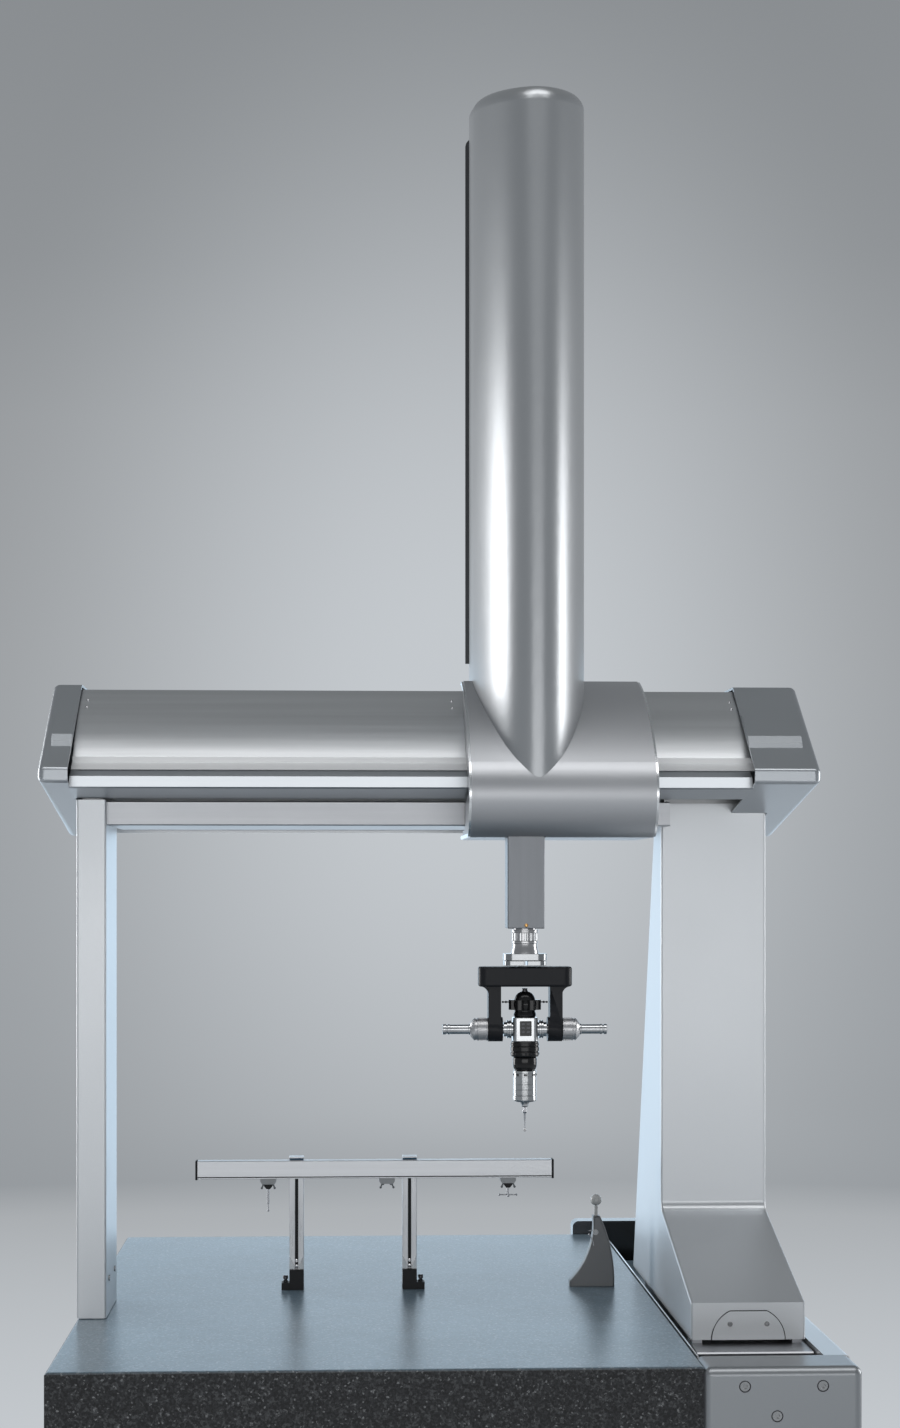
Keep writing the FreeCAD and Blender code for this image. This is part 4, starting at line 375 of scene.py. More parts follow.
@dataclass(frozen=True)
class Moulded(Finish):
    """Moulded plastic, rubber or ceramic with a fine surface."""

    roughness: float = 0.5
    texture: float = 900.0
    depth: float = 0.25
    coat: float = 0.0
    mirror: float = 0.22

    def build(self) -> bpy.types.Material:
        """Non-metal with a fine pebble and slight dust."""
        graph = Graph(self.title)
        spot = graph.place()
        pebble = graph.noise(spot, self.texture, 2.0)
        dust = graph.noise(spot, 14.0, 4.0, 0.65)
        tone = pebble * 0.3 + dust * 0.7
        rough = (pebble - 0.5) * 0.12 + (dust - 0.5) * 0.10 + self.roughness
        return graph.close(
            Base_Color=graph.shade(tone, self.colour, 0.80, 1.25), Roughness=rough, Specular_IOR_Level=self.mirror,
            Coat_Weight=self.coat, Coat_Roughness=0.1, Normal=graph.bump(pebble, self.depth, 0.0001))


class Finishes:
    """Every finish of the machine."""

    STAND = Paint("stand_paint", "stand_paint", (0.46, 0.47, 0.48), roughness=0.42, peel=0.5)
    SILVER = Paint("cover_silver", "cover_silver", (0.62, 0.635, 0.65), metallic=0.86, roughness=0.34, flake=0.7)
    SHEET = RolledSheet("beam_sheet", "cover_silver", (0.61, 0.625, 0.64), metallic=0.92, roughness=0.32)
    RAIL = RolledSheet("beam_rail_bright", "trim_bright", (0.88, 0.90, 0.92), metallic=0.55, roughness=0.50)
    COLUMN = Paint("column_silver", "cover_silver", (0.48, 0.495, 0.51), metallic=0.9, roughness=0.35, flake=0.7)
    LEG = Paint("leg_silver", "cover_silver", (0.61, 0.63, 0.65), metallic=0.82, roughness=0.36, flake=0.7)
    CAP = Paint("cap_grey", "cap_grey", (0.33, 0.345, 0.36), metallic=0.85, roughness=0.36, flake=0.7)
    HOUSING = Paint("housing_dark", "cap_grey", (0.10, 0.105, 0.11), metallic=0.9, roughness=0.24, flake=0.4)
    END = Paint("beam_end_grey", "cover_silver", (0.45, 0.475, 0.50), metallic=0.88, roughness=0.32, flake=0.7)
    HOOD = Paint("hood_grey", "hood_grey", (0.50, 0.51, 0.53), metallic=0.90, roughness=0.40, flake=0.7)
    MOTOR = Paint("motor_black", "motor_black", (0.030, 0.031, 0.034), roughness=0.35)
    TRIM = Brushed("trim_bright", "trim_bright", (0.80, 0.82, 0.84), along=Axis.X, roughness=0.22)
    DARK_PLATE = Brushed("rear_plate_dark", "plate_zinc", (0.075, 0.078, 0.082), along=Axis.Z, roughness=0.42)
    ZINC = Brushed("plate_zinc", "plate_zinc", (0.42, 0.43, 0.45), along=Axis.X, roughness=0.36)
    SCALE = Brushed("scale_steel", "scale_steel", (0.62, 0.63, 0.64), along=Axis.Y, roughness=0.25)
    FRAME = Brushed("frame_aluminium", "frame_aluminium", (0.48, 0.49, 0.50), along=Axis.Z, roughness=0.38)
    PAD = Brushed("pad_aluminium", "pad_aluminium", (0.30, 0.31, 0.33), along=Axis.Z, roughness=0.35)
    RAM = Brushed("ram_aluminium", "ram_aluminium", (0.21, 0.22, 0.235), along=Axis.Z, roughness=0.36, metallic=0.9)
    DUCT = Brushed("duct_zinc", "plate_zinc", (0.52, 0.53, 0.55), along=Axis.X, roughness=0.4)
    RACK = Brushed("rack_aluminium", "rack_aluminium", (0.74, 0.75, 0.77), along=Axis.X, roughness=0.36, metallic=0.75)
    POST = Brushed("rack_post", "rack_aluminium", (0.60, 0.61, 0.63), along=Axis.Z, roughness=0.3, metallic=0.9)
    SCREW = Turned("screw_steel", "screw_steel", (0.62, 0.62, 0.63), roughness=0.2)
    CAP_SCREW = Turned("cap_screw_steel", "screw_steel", (0.36, 0.365, 0.37), axis=Axis.Y, roughness=0.25, ring_and_reflection_contrast=0.4)
    # The strong ring contrast of the chrome and plated finishes is partly painted reflection of dark bands.
    CHROME = Turned("head_chrome", "head_chrome", (0.50, 0.51, 0.52), roughness=0.14, ring_and_reflection_contrast=0.3)
    PLATED = Turned("plated_steel", "head_chrome", (0.34, 0.35, 0.36), roughness=0.18, ring_and_reflection_contrast=0.3)
    CHROME_SIDE = Turned("side_chrome", "head_chrome", (0.60, 0.61, 0.62), axis=Axis.X, roughness=0.14, ring_and_reflection_contrast=0.45)
    SATIN_SIDE = Turned("side_satin", "head_chrome", (0.60, 0.60, 0.61), axis=Axis.X, roughness=0.34)
    ADAPTER = Turned("adapter_steel", "adapter_steel", (0.46, 0.46, 0.47), roughness=0.22)
    BRASS = Turned("brass_screw", "adapter_steel", (0.62, 0.36, 0.14), axis=Axis.Y, roughness=0.25)
    STYLUS = Turned("stylus_steel", "stylus_steel", (0.55, 0.55, 0.57), roughness=0.25)
    ANODISED = Moulded("head_black", "head_black", (0.012, 0.013, 0.016), roughness=0.36, depth=0.12)
    GLOSS_BLACK = Moulded("gloss_black", "head_black", (0.010, 0.010, 0.011), roughness=0.16, texture=500.0, depth=0.05,
                          coat=0.25)
    DARK_STEEL = Turned("dark_steel", "head_black", (0.06, 0.06, 0.065), roughness=0.2, metallic=0.9)
    HORN = Paint("horn_grey", "head_black", (0.16, 0.165, 0.17), metallic=0.6, roughness=0.38, flake=0.8)
    RUBBER = Moulded("rubber_black", "rubber_black", (0.020, 0.020, 0.021), roughness=0.72, depth=0.5)
    PLASTIC = Moulded("rack_black", "rack_black", (0.018, 0.018, 0.020), roughness=0.45)
    PALE_PLASTIC = Moulded("garage_grey", "rack_black", (0.42, 0.43, 0.44), roughness=0.42)
    GREY_PLASTIC = Moulded("fork_grey", "rack_black", (0.20, 0.21, 0.22), roughness=0.42)
    BLUE_CAP = Moulded("slot_cap_blue", "rack_black", (0.035, 0.09, 0.15), roughness=0.4)
    TREAD = Moulded("wheel_plastic", "wheel_plastic", (0.10, 0.06, 0.035), roughness=0.5)
    CERAMIC = Moulded("ball_ceramic", "ball_ceramic", (0.60, 0.60, 0.59), roughness=0.2, depth=0.05, coat=0.4)
    PALE_BALL = Moulded("stylus_ball_pale", "stylus_steel", (0.62, 0.60, 0.60), roughness=0.1, depth=0.05, coat=0.8)
    GRANITE = Stone("granite", "granite", (0.020, 0.021, 0.023))
    GUIDE = Stone("guide_granite", "guide_granite", (0.024, 0.025, 0.028))


class Shape:
    """A mesh that is being modelled, in millimetres from an origin given in metres."""

    def __init__(self, origin: Sequence[float] = (0.0, 0.0, 0.0)) -> None:
        """Start an empty mesh round an origin in the machine's frame."""
        self.mesh = bmesh.new()
        self.origin = Vector(origin)

    def _vertex(self, point: Vector) -> bmesh.types.BMVert:
        """Vertex at a place in the shape's own millimetres."""
        return self.mesh.verts.new(self.origin + point * MILLIMETRE)

    def _loft(self, loops: Sequence[Sequence[Vector]]) -> "Shape":
        """Join loops of equal length with faces, and close the two ends."""
        rows = [[self._vertex(point) for point in loop] for loop in loops]
        for first, second in zip(rows, rows[1:]):
            for index in range(len(first)):
                after = (index + 1) % len(first)
                self.mesh.faces.new((first[index], first[after], second[after], second[index]))
        self.mesh.faces.new(list(reversed(rows[0])))
        self.mesh.faces.new(rows[-1])
        return self

    def lathe(self, profile: Sequence[tuple[float, float]], centre: Sequence[float] = (0.0, 0.0, 0.0),
              axis: Axis = Axis.Z, way: int = 1, segments: int = 64) -> "Shape":
        """Turn a profile round an axis.

        Args:
            profile: (radius, place along the axis) pairs.
            centre: Where the axis starts.
            axis: Direction of the axis.
            way: 1 along the axis and -1 against it.
            segments: Number of steps round the axis.

        Returns:
            This shape.
        """
        start = Vector(centre)
        first, second = axis.across
        rows = []
        for radius, along in profile:
            heart = start + axis.vector * (along * way)
            if radius <= SMALLEST:
                rows.append([self._vertex(heart)])
                continue
            angles = [2 * math.pi * step / segments for step in range(segments)]
            rows.append([self._vertex(heart + first * (radius * math.cos(angle))
                                      + second * (radius * math.sin(angle))) for angle in angles])
        for low, high in zip(rows, rows[1:]):
            for step in range(segments):
                after = (step + 1) % segments
                ring = [low[step % len(low)], low[after % len(low)], high[after % len(high)], high[step % len(high)]]
                corners = list(dict.fromkeys(ring))
                if len(corners) > 2:
                    self.mesh.faces.new(corners)
        return self

    def prism(self, outline: Sequence[tuple[float, float]], low: float, high: float, axis: Axis) -> "Shape":
        """Extrude a closed outline along an axis.

        Args:
            outline: Corners as pairs of the two other coordinates in X, Y, Z order.
            low: Start along the axis.
            high: End along the axis.
            axis: Direction of extrusion.

        Returns:
            This shape.
        """
        def corner(pair: tuple[float, float], along: float) -> Vector:
            """A corner with its place along the axis put in."""
            rest = list(pair)
            return Vector([along if part else rest.pop(0) for part in axis.value])

        return self._loft([[corner(pair, along) for pair in outline] for along in (low, high)])

    def block(self, low: Sequence[float], high: Sequence[float]) -> "Shape":
        """Add a box between two corners."""
        outline = [(low[0], low[1]), (high[0], low[1]), (high[0], high[1]), (low[0], high[1])]
        return self.prism(outline, low[2], high[2], Axis.Z)

    def around(self, count: int, corners: Sequence[tuple[float, float]], low: float, high: float,
               axis: Axis = Axis.Z, turn: float = 0.0) -> "Shape":
        """Repeat an extruded outline evenly round an axis.

        Args:
            count: Number of copies.
            corners: Outline as (distance from the axis, distance sideways) pairs.
            low: Start along the axis.
            high: End along the axis.
            axis: Direction of the axis.
            turn: Angle of the first copy in degrees.

        Returns:
            This shape.
        """
        first, second = axis.across
        for number in range(count):
            angle = math.radians(turn + 360.0 * number / count)
            outward = first * math.cos(angle) + second * math.sin(angle)
            sideways = second * math.cos(angle) - first * math.sin(angle)
            self._loft([[axis.vector * along + outward * reach + sideways * side for reach, side in corners]
                        for along in (low, high)])
        return self

    def ball(self, centre: Sequence[float], radius: float, steps: int = 20) -> "Shape":
        """Add a ball."""
        profile = [(radius * math.sin(math.pi * step / steps), -radius * math.cos(math.pi * step / steps))
                   for step in range(steps + 1)]
        return self.lathe(profile, centre, segments=2 * steps)

    def tube(self, points: Sequence[Sequence[float]], radius: float, sides: int = 12) -> "Shape":
        """Sweep a circle along a line of points.

        Args:
            points: Places that the tube's middle passes through.
            radius: Radius of the tube.
            sides: Number of sides of its section.

        Returns:
            This shape.
        """
        places = [Vector(point) for point in points]
        loops = []
        for index, place in enumerate(places):
            before, after = places[max(index - 1, 0)], places[min(index + 1, len(places) - 1)]
            turn = (after - before).to_track_quat("Z", "Y")
            angles = [2 * math.pi * side / sides for side in range(sides)]
            loops.append([place + turn @ Vector((radius * math.cos(angle), radius * math.sin(angle), 0.0))
                          for angle in angles])
        return self._loft(loops)

    def place(self, name: str, body: str, finish: Finish, bevel: float = 0.0, segments: int = 3,
              replaces: Iterable[str] = (), sharp: float = 35.0) -> bpy.types.Object:
        """Turn the mesh into a piece of the machine.

        Args:
            name: Name of the piece.
            body: Body that it rides on.
            finish: Its finish.
            bevel: Width of its rounded edges in millimetres.
            segments: Steps across a rounded edge.
            replaces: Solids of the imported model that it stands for.
            sharp: Edges that turn by more than this many degrees stay sharp.

        Returns:
            The object.
        """
        made = self.mesh_object(name, finish.material(), sharp)
        if bevel:
            round_edges(made, bevel * MILLIMETRE, segments)
        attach(made, body)
        if replaces:
            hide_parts(*replaces)
        LOG.info("%s on %s in %s", name, body, finish.name)
        return made

    def mesh_object(self, name: str, material: bpy.types.Material, sharp: float = 35.0) -> bpy.types.Object:
        """Object with this mesh and one material.

        Args:
            name: Name of the object.
            material: Its material.
            sharp: Edges that turn by more than this many degrees stay sharp.

        Returns:
            The object, linked to the scene.
        """
        bmesh.ops.recalc_face_normals(self.mesh, faces=self.mesh.faces)
        for face in self.mesh.faces:
            face.smooth = True
        for edge in self.mesh.edges:
            edge.smooth = len(edge.link_faces) == 2 and edge.calc_face_angle(0.0) < math.radians(sharp)
        data = bpy.data.meshes.new(name)
        self.mesh.to_mesh(data)
        self.mesh.free()
        data.materials.append(material)
        made = bpy.data.objects.new(name, data)
        bpy.context.scene.collection.objects.link(made)
        return made


def rounded(corners: Sequence[tuple[float, float, float]], steps: int = 6) -> list[tuple[float, float]]:
    """Closed outline with rounded corners.

    Args:
        corners: (first, second, radius) of each corner.
        steps: Steps round each corner.

    Returns:
        The outline's points.
    """
    outline: list[tuple[float, float]] = []
    for index, (first, second, radius) in enumerate(corners):
        here = Vector((first, second))
        if radius <= 0:
            outline.append((first, second))
            continue
        back = (Vector(corners[index - 1][:2]) - here).normalized()
        on = (Vector(corners[(index + 1) % len(corners)][:2]) - here).normalized()
        half = back.angle(on) / 2
        centre = here + (back + on).normalized() * (radius / math.sin(half))
        start = here + back * (radius / math.tan(half)) - centre
        end = here + on * (radius / math.tan(half)) - centre
        sweep = math.pi - 2 * half
        for step in range(steps + 1):
            angle = sweep * step / steps
            point = centre + (start * math.sin(sweep - angle) + end * math.sin(angle)) / math.sin(sweep)
            outline.append((point.x, point.y))
    return outline


def mirrored(middle: float, half: Sequence[tuple[float, float, float]]) -> list[tuple[float, float, float]]:
    """Corners of half an outline, set on both sides of a middle."""
    return [(middle - out, up, radius) for out, up, radius in half] + [
        (middle + out, up, radius) for out, up, radius in half[::-1]]


def counted(start: float, rows: Sequence[tuple[float, float]], way: int = 1) -> list[tuple[float, float]]:
    """Profile whose places along the axis count from a start, with or against the axis."""
    return [(radius, start + way * along) for radius, along in rows]


def plate(width: float, height: float, radius: float, centre: tuple[float, float] = (0.0, 0.0),
          steps: int = 6) -> list[tuple[float, float]]:
    """Outline of a rectangle with rounded corners round a centre."""
    spots = [(-1, -1), (1, -1), (1, 1), (-1, 1)]
    return rounded([(centre[0] + side * width / 2, centre[1] + end * height / 2, radius) for side, end in spots], steps)


def round_edges(piece: bpy.types.Object, width: float, segments: int = 3) -> None:
    """Round a piece's sharp edges with a modifier.

    Args:
        piece: Object to round.
        width: Width of the rounding in metres.
        segments: Steps across it.
    """
    rounding = piece.modifiers.new("rounded edges", "BEVEL")
    rounding.width = width
    rounding.segments = segments
    rounding.limit_method = "ANGLE"
    rounding.angle_limit = math.radians(ROUNDED_FROM)
    rounding.use_clamp_overlap = True
    rounding.harden_normals = True


def dress(node: str, finish: Finish, bevel: float = 0.0) -> bpy.types.Object:
    """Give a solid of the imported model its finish.

    Args:
        node: Name of the solid's node.
        finish: Its finish.
        bevel: Width of its rounded edges in millimetres.

    Returns:
        The node's object.
    """
    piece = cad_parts[node]
    if not piece.material_slots:
        piece.data.materials.append(None)
    for place in piece.material_slots:
        place.material = finish.material()
    if bevel:
        weld = piece.modifiers.new("joined faces", "WELD")
        weld.merge_threshold = SMALLEST
        round_edges(piece, bevel * MILLIMETRE, 2)
    LOG.info("%s in %s", node, finish.name)
    return piece


Solids = tuple[Union[tuple[str, Finish], tuple[str, Finish, float]], ...]


@dataclass
class Assembly:
    """Part of the machine: a table gives its solids their finishes, and some with the width of rounded edges."""

    solids: Solids = ()

    def build(self) -> None:
        """Dress the solids, then model the finer pieces."""
        for solid in self.solids:
            dress(*solid)
        self.model()

    def model(self) -> None:
        """Model the pieces that need a finer shape; not every assembly has them."""


@dataclass
class Stand(Assembly):
    """Steel frame, feet and pads that carry the granite."""

    solids: Solids = (
        ("stand_frame", Finishes.STAND, 2.5), ("levelling_feet", Finishes.ZINC),
        ("isolation_pads", Finishes.RUBBER))


@dataclass
class Table(Assembly):
    """Granite table with the granite guide of the bridge beside it."""

    solids: Solids = (
        ("granite_table", Finishes.GRANITE, 1.2), ("bridge_guide_rail", Finishes.GUIDE),
        ("guide_strips", Finishes.SCALE), ("bridge_end_buffers", Finishes.RUBBER))


@dataclass
class GuideCover(Assembly):
    """Channel, caps and screws that cover the bridge's guide; sizes in millimetres."""

    solids: Solids = (
        ("guide_cover", Finishes.SILVER), ("guide_front_cap", Finishes.CAP), ("cap_mounting_plate", Finishes.ZINC),
        ("guide_rear_housing", Finishes.HOUSING), ("base_screws", Finishes.CAP_SCREW))
    rim_outer: float = 7.05
    rim_inner: float = 5.7
    screw_spots: tuple[tuple[float, float], ...] = (
        (-46.0, -22.0), (46.0, -22.0), (-8.0, -57.0), (-46.0, -178.0), (46.0, -178.0))

    def model(self) -> None:
        """Dark ring in the gap round the screw in each counterbore of the front cap: painted shade."""
        low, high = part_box("guide_front_cap")
        # Painted shade: a dark ring fills each counterbore's gap round its screw.
        counterbore_shade = Shape(((low.x + high.x) / 2, low.y, high.z))
        for across, up in self.screw_spots:
            counterbore_shade.lathe([(self.rim_inner, -0.62), (self.rim_inner + 0.1, -0.15), (self.rim_outer, -0.08),
                        (self.rim_outer, -0.62)], (across, 0.0, up), Axis.Y, -1, 48)
        counterbore_shade.place("cap_screw_counterbore_shade", "base", Finishes.DARK_STEEL)


@dataclass
class Legs(Assembly):
    """Both legs of the bridge and the carriage that runs on the guide; sizes in millimetres."""

    solids: Solids = (
        ("right_leg_cover", Finishes.LEG), ("left_leg_cover", Finishes.LEG), ("leg_access_cover", Finishes.LEG),
        ("leg_scraper_plate", Finishes.ZINC), ("bridge_carriage", Finishes.FRAME), ("bridge_air_pads", Finishes.PAD),
        ("bridge_frame", Finishes.FRAME), ("bridge_screws", Finishes.CAP_SCREW))
    arch_radius: float = 39.7
    arch_left: float = 382.9
    arch_right: float = 395.5
    arch_low: float = 860.0
    arch_face: float = -395.4
    arch_end: int = 65
    gap_shade_radius: float = 0.55

    def model(self) -> None:
        """Black tube along the gap round the arched access cover on the right foot: painted shade of the gap."""
        points = []
        for heart, way in ((self.arch_left, -1), (self.arch_right, 1)):
            side = [(heart + way * self.arch_radius * math.cos(math.radians(angle)), self.arch_face,
                     self.arch_low + self.arch_radius * math.sin(math.radians(angle)))
                    for angle in range(0, self.arch_end + 1, 5)]
            points += side if way < 0 else side[::-1]
        # Painted shade: a thin black tube fills the gap round the cover.
        Shape().tube(points, self.gap_shade_radius, 8).place("access_cover_gap_shade", "bridge", Finishes.RUBBER)


@dataclass
class Beam(Assembly):
    """Beam with its sheets, rail and moulded ends; sizes in millimetres."""

    solids: Solids = (
        ("beam_core", Finishes.FRAME), ("beam_end_caps", Finishes.END, 7.5), ("beam_lower_cover", Finishes.END),
        ("beam_rear_cover", Finishes.SILVER), ("beam_front_rail", Finishes.RAIL), ("beam_cable_duct", Finishes.DUCT))
    sheet_left: float = -462.0
    sheet_right: float = 463.7
    sheet_top: tuple[float, float] = (-121.0, 1687.0)
    sheet_foot: tuple[float, float] = (-238.6, 1590.9)
    sheet_crown: float = 7.2
    crown_share: float = 0.58
    sheet_thickness: float = 2.4
    sheet_steps: int = 24
    screw_places: tuple[float, ...] = (-452.0, 32.0, 406.0)
    screw_shares: tuple[float, ...] = (0.20, 0.32)
    screw_radius: float = 2.0
    screw_depth: float = 0.6

    def _point(self, share: float, depth: float = 0.0) -> Vector:
        """Place on the crowned sheet.

        Args:
            share: 0 at the sheet's top edge and 1 at its foot.
            depth: Distance below its outer face.

        Returns:
            The place in the (y, z) plane.
        """
        top, foot = Vector(self.sheet_top), Vector(self.sheet_foot)
        along = (foot - top).normalized()
        outward = Vector((along.y, -along.x))
        reach = self.crown_share if share < self.crown_share else 1 - self.crown_share
        height = self.sheet_crown * (1 - ((share - self.crown_share) / reach) ** 2)
        return top.lerp(foot, share) + outward * (height - depth)

    def model(self) -> None:
        """Crowned upper sheet with its pairs of small screws."""
        steps = [step / self.sheet_steps for step in range(self.sheet_steps + 1)]
        outline = [tuple(self._point(share)) for share in steps]
        outline += [tuple(self._point(share, self.sheet_thickness)) for share in reversed(steps)]
        Shape().prism(outline, self.sheet_left, self.sheet_right, Axis.X).place(
            "beam_upper_sheet", "bridge", Finishes.SHEET, replaces=["beam_upper_cover"])
        screws = Shape()
        for place in self.screw_places:
            for share in self.screw_shares:
                spot = self._point(share, self.screw_depth)
                screws.ball((place, spot.x, spot.y), self.screw_radius, 12)
        screws.place("sheet_screws", "bridge", Finishes.SCREW, replaces=["beam_upper_cover"])


@dataclass
class Carriage(Assembly):
    """Hood, column and what they hide."""

    solids: Solids = (
        ("carriage_cover", Finishes.HOOD), ("carriage_cover_strips", Finishes.TRIM), ("column_cover", Finishes.COLUMN),
        ("column_rear_plate", Finishes.DARK_PLATE), ("ram_guides", Finishes.PAD), ("carriage_air_pads", Finishes.PAD),
        ("carriage_saddle", Finishes.FRAME), ("column_frame", Finishes.FRAME), ("balance_rod", Finishes.CHROME))


@dataclass
class Ram(Assembly):
    """Square ram with its end plates and the tube of its balance."""

    solids: Solids = (("z_ram", Finishes.RAM), ("ram_end_plates", Finishes.RAM), ("balance_tube", Finishes.POST))


@dataclass
class Head(Assembly):
    """Turning and tilting head with its touch probe; heights count from the axis of tilt."""

    solids: Solids = (("head_yoke", Finishes.ANODISED, 0.7),)
    axis_x: float = 0.1169
    axis_y: float = -0.316
    tilt_z: float = 1.242
    ram_end: float = 128.0
    ram_front: float = -24.0
    arm_outer: float = 47.0
    side_span: float = 104.6
    block_half: float = 15.75
    probe_end: float = -92.0
    stylus_end: float = -130.0

    @property
    def origin(self) -> Vector:
        """Where the axes of turn and tilt cross."""
        return Vector((self.axis_x, self.axis_y, self.tilt_z))

    def model(self) -> None:
        """Build the head from the ram down to the stylus."""
        self._adapter()
        self._side_units()
        self._block()
        self._knob()
        self._mount()
        self._probe()
        self._stylus()

    def _adapter(self) -> None:
        """Fluted adapter under the ram with its two-piece flange and the brass screw."""
        top = self.ram_end
        Shape(self.origin).lathe(counted(top, [
            (0, 0), (14.4, 0), (14.4, 1.5), (17.4, 1.5), (17.4, 2.8), (16.7, 3.4), (16.7, 5.2), (15.0, 5.8),
            (15.0, 15.6), (16.5, 16.2), (16.5, 18.8), (15.6, 19.4), (15.7, 21.4), (16.3, 25.0), (17.3, 29.5),
            (17.5, 32.0), (0, 32.0)], -1)).place("head_adapter", "ram", Finishes.ADAPTER, 0.2, replaces=["head_mount"])
        rib = [(14.4, -1.5), (16.5, -1.3), (16.9, 0.0), (16.5, 1.3), (14.4, 1.5)]
        Shape(self.origin).around(14, rib, top - 15.9, top - 5.6, turn=90.0).place(
            "adapter_ribs", "ram", Finishes.CHROME, 0.25, replaces=["head_mount"])
        plates = Shape(self.origin)
        plates.prism(plate(55, 40, 14), top - 40.4, top - 32.0, Axis.Z)
        for side in (-1, 1):
            near, far = side * 2.2, side * 26.8
            corners = [(near, -18.5, 0.5), (far, -18.5, 10), (far, 18.5, 10), (near, 18.5, 0.5)]
            plates.prism(rounded(corners if side > 0 else corners[::-1]), top - 47.0, top - 41.0, Axis.Z)
        plates.prism(plate(50, 34, 10), top - 41.2, top - 40.2, Axis.Z)
        plates.place("head_flange", "ram", Finishes.PLATED, 0.9, replaces=["head_mount"])
        screw = Shape(self.origin).lathe(
            [(0, -1), (2.4, -1), (2.4, 0.7), (1.9, 1.3), (1.2, 1.5), (1.2, 0.6), (0, 0.6)],
            (0, self.ram_front, top + 4), Axis.Y, -1, 32)
        screw.place("ram_brass_screw", "ram", Finishes.BRASS, replaces=["head_mount"])

    def _side_units(self) -> None:
        """Knurled housing and bright tube on each side of the yoke."""
        housings, knurls, tubes = (Shape(self.origin) for _ in range(3))
        tooth = [(14.0, -0.50), (14.6, -0.34), (14.6, 0.34), (14.0, 0.50)]
        for way in (-1, 1):
            start = (way * self.arm_outer, 0.0, 0.0)
            housings.lathe([(0, 0), (13.6, 0), (14.5, 0.8), (14.5, 1.6), (14.1, 2.0), (14.1, 12.2), (14.5, 12.6),
                            (14.5, 13.6), (13.4, 14.2), (13.4, 15.6), (14.2, 16.2), (14.2, 17.2), (13.4, 18.4),
                            (8.6, 22.4), (7.5, 23.0), (0, 23.0)], start, Axis.X, way)
            low, high = sorted((way * (self.arm_outer + 2.1), way * (self.arm_outer + 12.1)))
            knurls.around(56, tooth, low, high, axis=Axis.X)
            reach = self.side_span - self.arm_outer
            ends = [(6.1, 9.4), (6.6, 9.0), (6.6, 6.6), (5.7, 6.2), (5.7, 4.6), (6.6, 4.2), (6.6, 0.8), (6.0, 0),
                    (4.4, 0), (4.4, 2.4), (0, 2.4)]
            tube = [(0, 22.9), (6.9, 22.9), (6.9, 24.6), (6.1, 25.0)] + counted(reach, ends, -1)
            tubes.lathe(tube, start, Axis.X, way)
        housings.place("side_housings", "yoke", Finishes.SATIN_SIDE, 0.2, replaces=["tilt_side_units"])
        knurls.place("side_knurling", "yoke", Finishes.SATIN_SIDE, replaces=["tilt_side_units"])
        tubes.place("side_tubes", "yoke", Finishes.CHROME_SIDE, 0.2, replaces=["tilt_side_units"])

    def _block(self) -> None:
        """Bright block between the arms, its stepped trunnions and the dark window on its front."""
        half = self.block_half
        Shape(self.origin).prism(plate(2 * half, 30, 6), -15, 15, Axis.Z).place(
            "probe_head_block", "probe", Finishes.CHROME, 0.8, replaces=["probe_head_block"])
        trunnions = Shape(self.origin)
        for way in (-1, 1):
            trunnions.lathe([(0, -1), (9.0, -1), (9.0, 1.6), (11.6, 2.0), (11.6, 4.2), (10.8, 4.6), (10.8, 5.2),
                             (11.6, 5.6), (11.6, 7.2), (9.4, 7.6), (9.4, 11.4), (6.0, 11.4), (6.0, 28.0), (0, 28.0)],
                            (way * half, 0, 0), Axis.X, way)
        trunnions.place("tilt_trunnions", "probe", Finishes.CHROME_SIDE, 0.15, replaces=["probe_head_block"])
        window = Shape(self.origin)
        window.prism(plate(15.0, 19.0, 1.0, (0, 1.5)), -15.25, -14.6, Axis.Y)
        window.place("block_window", "probe", Finishes.GLOSS_BLACK, 0.1)
        contacts = Shape(self.origin)
        for up in (7.2, 2.2, -2.8):
            for side in (-3.2, 3.2):
                contacts.prism(plate(4.4, 2.6, 0.4, (side, up), 3), -15.6, -15.1, Axis.Y)
        contacts.place("window_contacts", "probe", Finishes.DARK_STEEL, 0.1)

    def _knob(self) -> None:
        """Star knob that locks the head, with its stem and its two side pins."""
        knob = Shape(self.origin)
        knob.lathe([(0, 15), (13.0, 15), (14.6, 17.6), (14.2, 20.5), (13.4, 22.0), (13.4, 24.0), (14.6, 26.0),
                    (15.4, 31.0), (15.2, 35.0), (13.6, 37.6), (13.0, 39.6), (11.8, 42.6), (9.4, 45.4), (6.4, 47.2),
                    (4.2, 48.0), (0, 48.0)], segments=96)
        lobe = rounded([(12.0, -5.6, 0.5), (18.4, -4.6, 2.0), (21.0, 0.0, 2.6), (18.4, 4.6, 2.0), (12.0, 5.6, 0.5)], 4)
        knob.around(6, lobe, 24.6, 37.4)
        knob.place("head_lock_knob", "probe", Finishes.GLOSS_BLACK, 1.3, 4, replaces=["head_lock_knob"])
        stem = Shape(self.origin).lathe([(0, 47), (4.0, 47), (4.0, 49.0), (3.1, 49.4), (3.1, 50.4), (3.8, 50.8),
                                         (3.2, 52.0), (0, 52.0)], segments=32)
        stem.place("knob_stem", "probe", Finishes.DARK_STEEL, replaces=["head_lock_knob"])
        pins = Shape(self.origin)
        for side in (-1, 1):
            pins.tube([(side * place, 0, 34.5) for place in (19.0, 24.0, 29.3)], 0.75)
            for place, radius in ((24.0, 1.5), (28.0, 1.3)):
                pins.ball((side * place, 0, 34.5), radius, 12)
        pins.place("knob_pins", "probe", Finishes.DARK_STEEL, replaces=["head_lock_knob"])

